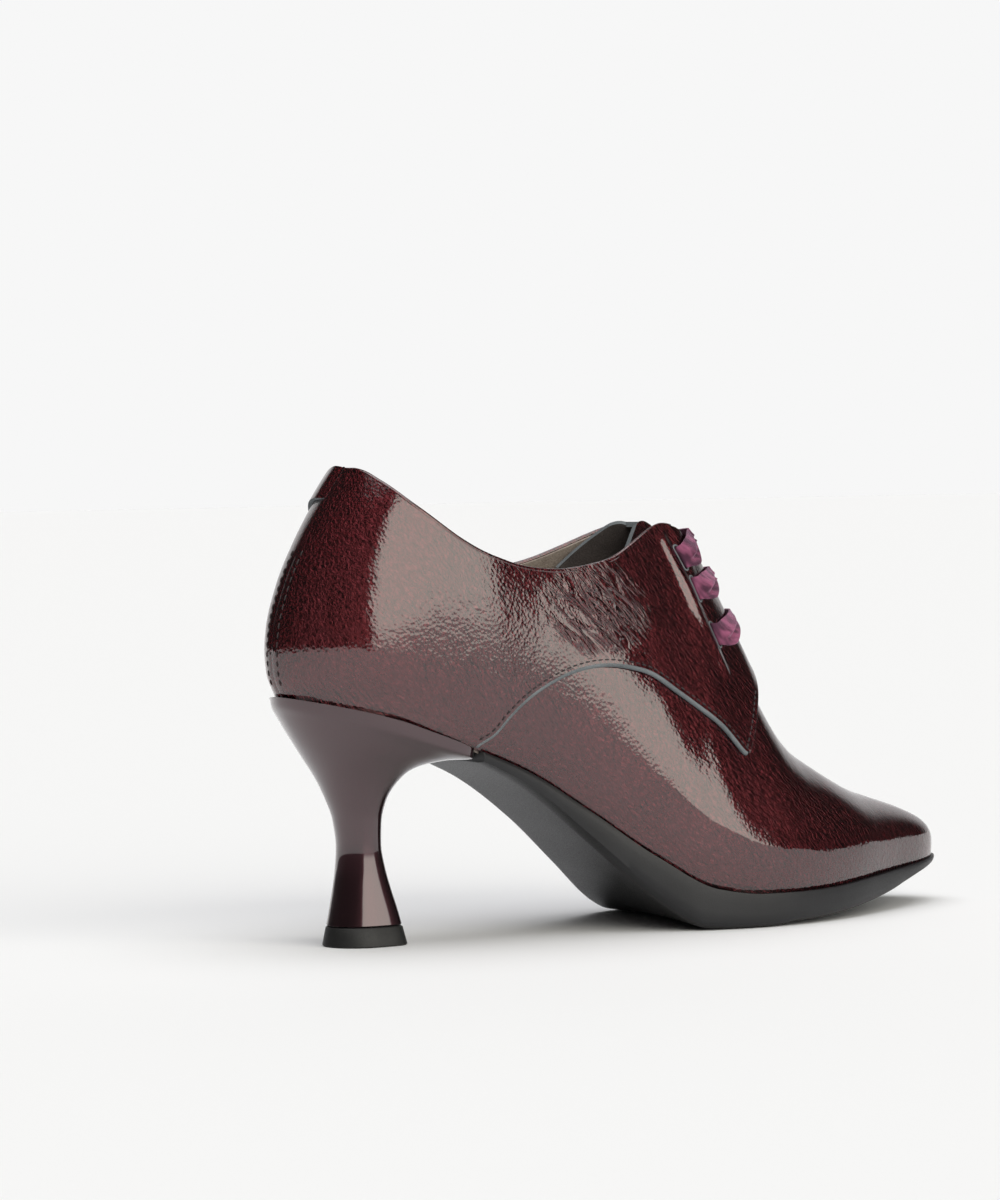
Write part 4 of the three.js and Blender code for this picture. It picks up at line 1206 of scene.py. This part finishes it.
def make_outsole():
    xs = cap_stations(SOLE_START, LAST_LENGTH, 190)
    at = xs / LAST_LENGTH
    top = feather_height(xs) - SEAM_GAP
    bevel = SOLE_THICKNESS * column_at(SOLE, "bevel", at)
    ball = smooth_step(0.35, 0.55, at) * (1 - 0.8 * smooth_step(0.85, 1, at))
    overhang = ARCH_OVERHANG + (SOLE_OVERHANG - ARCH_OVERHANG) * ball
    edges = {}
    for side in (-1, 1):
        rows = []
        for inset, drop in SOLE_SIDE:
            point = last_point(xs, 0.0, side, overhang - inset * bevel)
            point[:, 2] = top - drop * (top - tread_height(xs, side))
            rows.append(point)
        edges[side] = rows
    shares = np.linspace(0, 1, 48)[1:-1]
    left, right = edges[-1][-1], edges[1][-1]
    ball_area = smooth_step(0.56, 0.60, at) * (1 - smooth_step(0.93, 0.97, at))
    bottom = []
    for share in shares:
        point = left + (right - left) * share
        side_fade = smooth_step(0.0, 0.08, share) * (1 - smooth_step(0.92, 1.0, share))
        bent = point[:, 0] + 0.012 * point[:, 1] ** 2
        groove = smooth_step(0.55, 0.85, np.sin(2 * math.pi * bent / GROOVE_PITCH))
        point[:, 2] += GROOVE_DEPTH * groove * ball_area * side_fade
        bottom.append(point)
    rings = np.stack(edges[-1] + bottom + edges[1][::-1], 1)
    obj = loft_object("outsole_rubber", rings, [SOLE_RUBBER], sharp=38, lids=False)
    close_holes(obj)
    finish_piece(obj, "sole_rubber", "outsole")


def close_holes(obj):
    """Closes the open ends of a loft."""
    bm = bmesh.new()
    bm.from_mesh(obj.data)
    edges = [e for e in bm.edges if e.is_boundary]
    bmesh.ops.holes_fill(bm, edges=edges, sides=0)
    bmesh.ops.recalc_face_normals(bm, faces=bm.faces)
    bm.to_mesh(obj.data)
    bm.free()


def heel_ring(row, facets=96):
    """One section of the heel, with a round back and a squarer front."""
    angle = np.linspace(0, 2 * math.pi, facets, endpoint=False)
    front = np.cos(angle) > 0
    power = np.where(front, 2 / row["front_round"], 2 / row["back_round"])
    reach = np.where(front, 1 - row["widest"], -row["widest"])
    along = row["widest"] + reach * np.abs(np.cos(angle)) ** power
    across = np.sign(np.sin(angle)) * np.abs(np.sin(angle)) ** power
    length = (row["front"] - row["back"]) * HEEL_SEAT_LENGTH
    return np.stack([
        row["back"] * HEEL_SEAT_LENGTH + along * length,
        across * row["half"] * HEEL_SEAT_WIDTH,
        SEAT_HEIGHT * (row["back_up"] + (row["front_up"] - row["back_up"]) * along),
    ], -1)


def heel_rows(steps):
    """Heel sections, smoothed between the table's rows."""
    count = len(HEEL["back"])
    places = np.linspace(0, count - 1, steps * (count - 1) + 1)
    rows = dict(HEEL, place=np.arange(count, dtype=float))
    names = HEEL_COLUMNS.split()
    values = {name: column_at(rows, name, places, key="place") for name in names}
    return [{name: values[name][k] for name in names} for k in range(len(places))]


def heel_foot(z):
    """Section of the heel's straight foot at height z."""
    first = {k: v[0] for k, v in HEEL.items()}
    second = {k: v[1] for k, v in HEEL.items()}
    share = z / (second["back_up"] * SEAT_HEIGHT)
    ring = heel_ring(first) + (heel_ring(second) - heel_ring(first)) * share
    ring[:, 2] = z
    return ring


def scaled_ring(ring, amount, z):
    """Ring moved in from its edge by about an amount, at height z."""
    middle = ring.mean(0)
    away = ring - middle
    radius = np.linalg.norm(away[:, :2], axis=1).mean()
    moved = middle + away * (1 - amount / radius)
    moved[:, 2] = z
    return moved


def make_heel():
    rows = [row for row in heel_rows(6) if row["back_up"] * SEAT_HEIGHT > TOP_LIFT_HEIGHT + 2]
    low = TOP_LIFT_HEIGHT + GAP
    foot = heel_foot(low)
    rings = [scaled_ring(foot, 0.25, low), heel_foot(low + 0.25)] + [heel_ring(row) for row in rows]
    slope = (feather_height(np.zeros(1)) - feather_height(np.ones(1)))[0]
    for ring in rings:
        ceiling = feather_height(np.clip(ring[:, 0], 0, LAST_LENGTH)) - SEAM_GAP
        ceiling += np.maximum(0, -ring[:, 0]) * slope
        ring[:, 2] = np.minimum(ring[:, 2], ceiling)
    obj = loft_object("heel_lacquered", rings, [LACQUER], sharp=42)
    finish_piece(obj, "heel_lacquer", "heel")


def make_top_lift():
    rings = [
        scaled_ring(heel_foot(0.0), 0.5, 0.0),
        heel_foot(0.4),
        heel_foot(TOP_LIFT_HEIGHT - 0.3),
        scaled_ring(heel_foot(TOP_LIFT_HEIGHT), 0.3, TOP_LIFT_HEIGHT),
    ]
    obj = loft_object("top_lift_rubber", rings, [LIFT_RUBBER], sharp=40)
    finish_piece(obj, "lift_rubber", "top_lift")


# ---- Ribbon lace ----

# Stations of a bar between its slot and the middle, and the ribbon's half width, thickness and
# depth of its folds
LACE_RISE = (0.12, 0.32, 0.52, 0.70, 0.84, 0.94)
LACE_SINK = (5.6, 3.0, 1.0, -0.5)
RIBBON_HALF = 3.4
RIBBON_THICKNESS = 0.45
FOLD_TURNS = (0.0, 0.15, -0.15)


def lace_half(index, side):
    """Half of a bar from inside its slot, as centre, way across the ribbon and way out."""
    slot = slot_frame(index, side)
    cross_x = SLOTS["cross"][index] * LAST_LENGTH
    away = -slot["across"]
    path = []
    for down in LACE_SINK:
        path.append((slot["centre"] - down * slot["out"], slot["along"], away))
    slope = facing_point(cross_x + 1, 1.0, side) - facing_point(cross_x - 1, 1.0, side)
    slope[1] = 0
    slope /= np.linalg.norm(slope)
    up = np.array([-slope[2], 0, slope[0]])
    middle = facing_point(cross_x, 1.0, side)
    middle[1] = 0
    middle = middle + up * (GAP + LACE_THICKNESS)
    def grow(x, t):
        return QUARTER_STEP + FACING_LIFT + 0 * t

    for way in LACE_RISE:
        on_x = slot["x"] + (cross_x - slot["x"]) * way
        level = slot["centre"][2] + (middle[2] - slot["centre"][2]) * way
        on_t = float(t_at_level(np.array([on_x]), level, side, grow)[0])
        out, along, _ = facing_frame(on_x, on_t, side)
        above = out * (GAP + 0.8 * LACE_THICKNESS)
        path.append((facing_point(on_x, on_t, side) + above, along, out))
    return path, (middle, slope, up)


def make_ribbon(index):
    """One bar of the lace: a ribbon folded into a soft ridge, flat and narrow in the middle."""
    outer, middle = lace_half(index, -1)
    inner, _ = lace_half(index, 1)
    path = outer + [middle] + inner[::-1]
    stack = np.array([np.concatenate(step) for step in path])
    dense = spline(stack, 120)
    place = np.linspace(-1, 1, len(dense))
    slot_place = 1 - 2 * 3.4 / (len(path) - 1)
    shares = np.linspace(-1, 1, 33)
    turn = FOLD_TURNS[index]
    fold = {
        "at": np.array([-1.0, -0.3, 0.15, 0.52 + 0.3 * turn, 1.0]),
        "lift": np.array([0.1, 1.2, 2.3, 0.3, 2.3]) * (1 + 0.5 * turn),
    }
    points = []
    for row, u in zip(dense, place):
        centre, across, out = row[:3], row[3:6], row[6:9]
        across = across / np.linalg.norm(across)
        out = out - across * (out @ across)
        out /= np.linalg.norm(out)
        loose = float(smooth_step(0, 0.16, slot_place - abs(u)))
        narrow = float(smooth_step(0.62, 0.12, abs(u)))
        half = RIBBON_HALF + 0.8 * loose - 2.1 * narrow
        lift = column_at(fold, "lift", shares) * loose * (1 - 0.75 * narrow)
        drift = 0.4 * loose - 2.9 * narrow
        for share, rise in zip(shares, lift):
            points.append(centre + across * (half * share + drift) + out * rise)
    polys = grid_polys(len(dense), len(shares), True)
    obj = mesh_object(f"ribbon_{index + 1}", np.array(points), polys, [VELVET], merge=0.001)
    thicken(obj, RIBBON_THICKNESS)
    return finish_piece(obj, "lace_velvet")


# ---- Scene ----

# The photograph's camera: angles in degrees, place in millimetres of the frame and focal length
# as a share of the sensor
CAMERA_ANGLES = (-32.21, 1.491, -1.071)
CAMERA_PLACE = (-719.24, -1078.28, 128.3)
SENSOR = 36
FOCAL_SHARE = 4474.2 / 1200


def make_camera():
    """The photograph's view, for a frame of 1000 by 1200 pixels."""
    turn, pitch, roll = (math.radians(angle) for angle in CAMERA_ANGLES)
    flat = math.cos(pitch)
    ahead = Vector((-math.sin(turn) * flat, math.cos(turn) * flat, -math.sin(pitch)))
    level = Vector((math.cos(turn), math.sin(turn), 0))
    up = level.cross(ahead)
    right = level * math.cos(roll) + up * math.sin(roll)
    top = up * math.cos(roll) - level * math.sin(roll)
    data = bpy.data.cameras.new("camera")
    data.sensor_width = SENSOR
    data.lens = SENSOR * FOCAL_SHARE
    data.clip_start, data.clip_end = 0.05, 60
    camera = bpy.data.objects.new("camera", data)
    place = Vector(CAMERA_PLACE) * MM
    basis = Matrix((right, top, -ahead)).transposed().to_4x4()
    camera.matrix_world = Matrix.Translation(place) @ basis
    bpy.context.scene.collection.objects.link(camera)
    bpy.context.scene.camera = camera


BOX_LIGHT = 2.7
BACKDROP_LIGHT = 0.7
CEILING_LIGHT = 2.35
ROOM_LIGHT = 0.035


def make_world():
    """Dark studio with a large soft box at the outer side, a lit ceiling and a white backdrop."""
    world = bpy.data.worlds.new("studio")
    bpy.context.scene.world = world
    world.use_nodes = True
    n = Nodes(world.node_tree)
    split = n.add("ShaderNodeSeparateXYZ", {0: n.add("ShaderNodeTexCoord").outputs["Generated"]})
    x, y, z = split.outputs
    azimuth = n.math("DEGREES", n.math("ARCTAN2", x, n.math("MULTIPLY", y, -1.0)))
    height = n.math("DEGREES", n.math("ARCSINE", z))
    left = n.ramp(n.math("ADD", azimuth, n.math("MULTIPLY", height, 0.7)), -20, -13)
    right = n.ramp(azimuth, 36, 40, 1.0, 0.0)
    low = n.ramp(height, -1, 3)
    high = n.ramp(height, 44, 50, 1.0, 0.0)
    box = n.math("MULTIPLY", n.math("MULTIPLY", left, right), n.math("MULTIPLY", low, high))
    behind = n.math("ADD", n.math("MULTIPLY", x, 0.533), n.math("MULTIPLY", y, 0.846))
    back = n.math("MULTIPLY", n.ramp(behind, 0.68, 0.88), n.ramp(height, 30, 44, 1.0, 0.0))
    ceiling = n.ramp(height, 52, 62)
    box_light = n.math("MULTIPLY", box, BOX_LIGHT)
    light = n.math("ADD", box_light, n.math("MULTIPLY", back, BACKDROP_LIGHT))
    light = n.math("ADD", light, n.math("MULTIPLY", ceiling, CEILING_LIGHT))
    light = n.math("ADD", light, ROOM_LIGHT)
    background = world.node_tree.nodes["Background"]
    world.node_tree.links.new(light, background.inputs["Strength"])
    tint = n.mix(box, rgb(1.0, 1.0, 1.0), rgb(1.0, 0.97, 0.88))
    world.node_tree.links.new(tint, background.inputs["Color"])


def make_stage():
    """Pale floor, and a pale dome that only the camera sees."""
    bpy.ops.mesh.primitive_circle_add(vertices=96, radius=30, fill_type="NGON", location=(0, 0, 0))
    floor = bpy.context.object
    floor.name = "floor"
    material, n, shader = new_material("floor_paper")
    fine = n.noise(n.place(), 900, detail=2.0)
    tone = n.mix(fine, rgb(0.872, 0.877, 0.892), rgb(0.882, 0.887, 0.902))
    set_inputs(n, shader, Base_Color=tone, Roughness=0.9)
    shader.inputs["Specular IOR Level"].default_value = 0.1
    floor.data.materials.append(material)
    bpy.ops.mesh.primitive_uv_sphere_add(
        segments=48, ring_count=24, radius=29, location=(0, 0, 0))
    dome = bpy.context.object
    dome.name = "backdrop"
    paper, n, shader = new_material("backdrop_paper")
    glow = n.add("ShaderNodeEmission", {"Color": rgb(0.93, 0.93, 0.93), "Strength": 1.0})
    output = paper.node_tree.nodes["Material Output"]
    paper.node_tree.links.new(glow.outputs[0], output.inputs["Surface"])
    dome.data.materials.append(paper)
    for ray in ("diffuse", "glossy", "transmission", "volume_scatter", "shadow"):
        setattr(dome, f"visible_{ray}", False)


make_camera()
make_world()
make_stage()
make_vamp()
make_quarters()
make_lining()
make_collar_fold()
make_quarter_edges()
make_slot_rims()
make_stitches()
make_tab()
make_tongue()
make_insole()
make_outsole()
make_heel()
make_top_lift()
ribbons = [make_ribbon(index) for index in range(3)]
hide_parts("lace")

bpy.context.scene.view_settings.view_transform = "Standard"
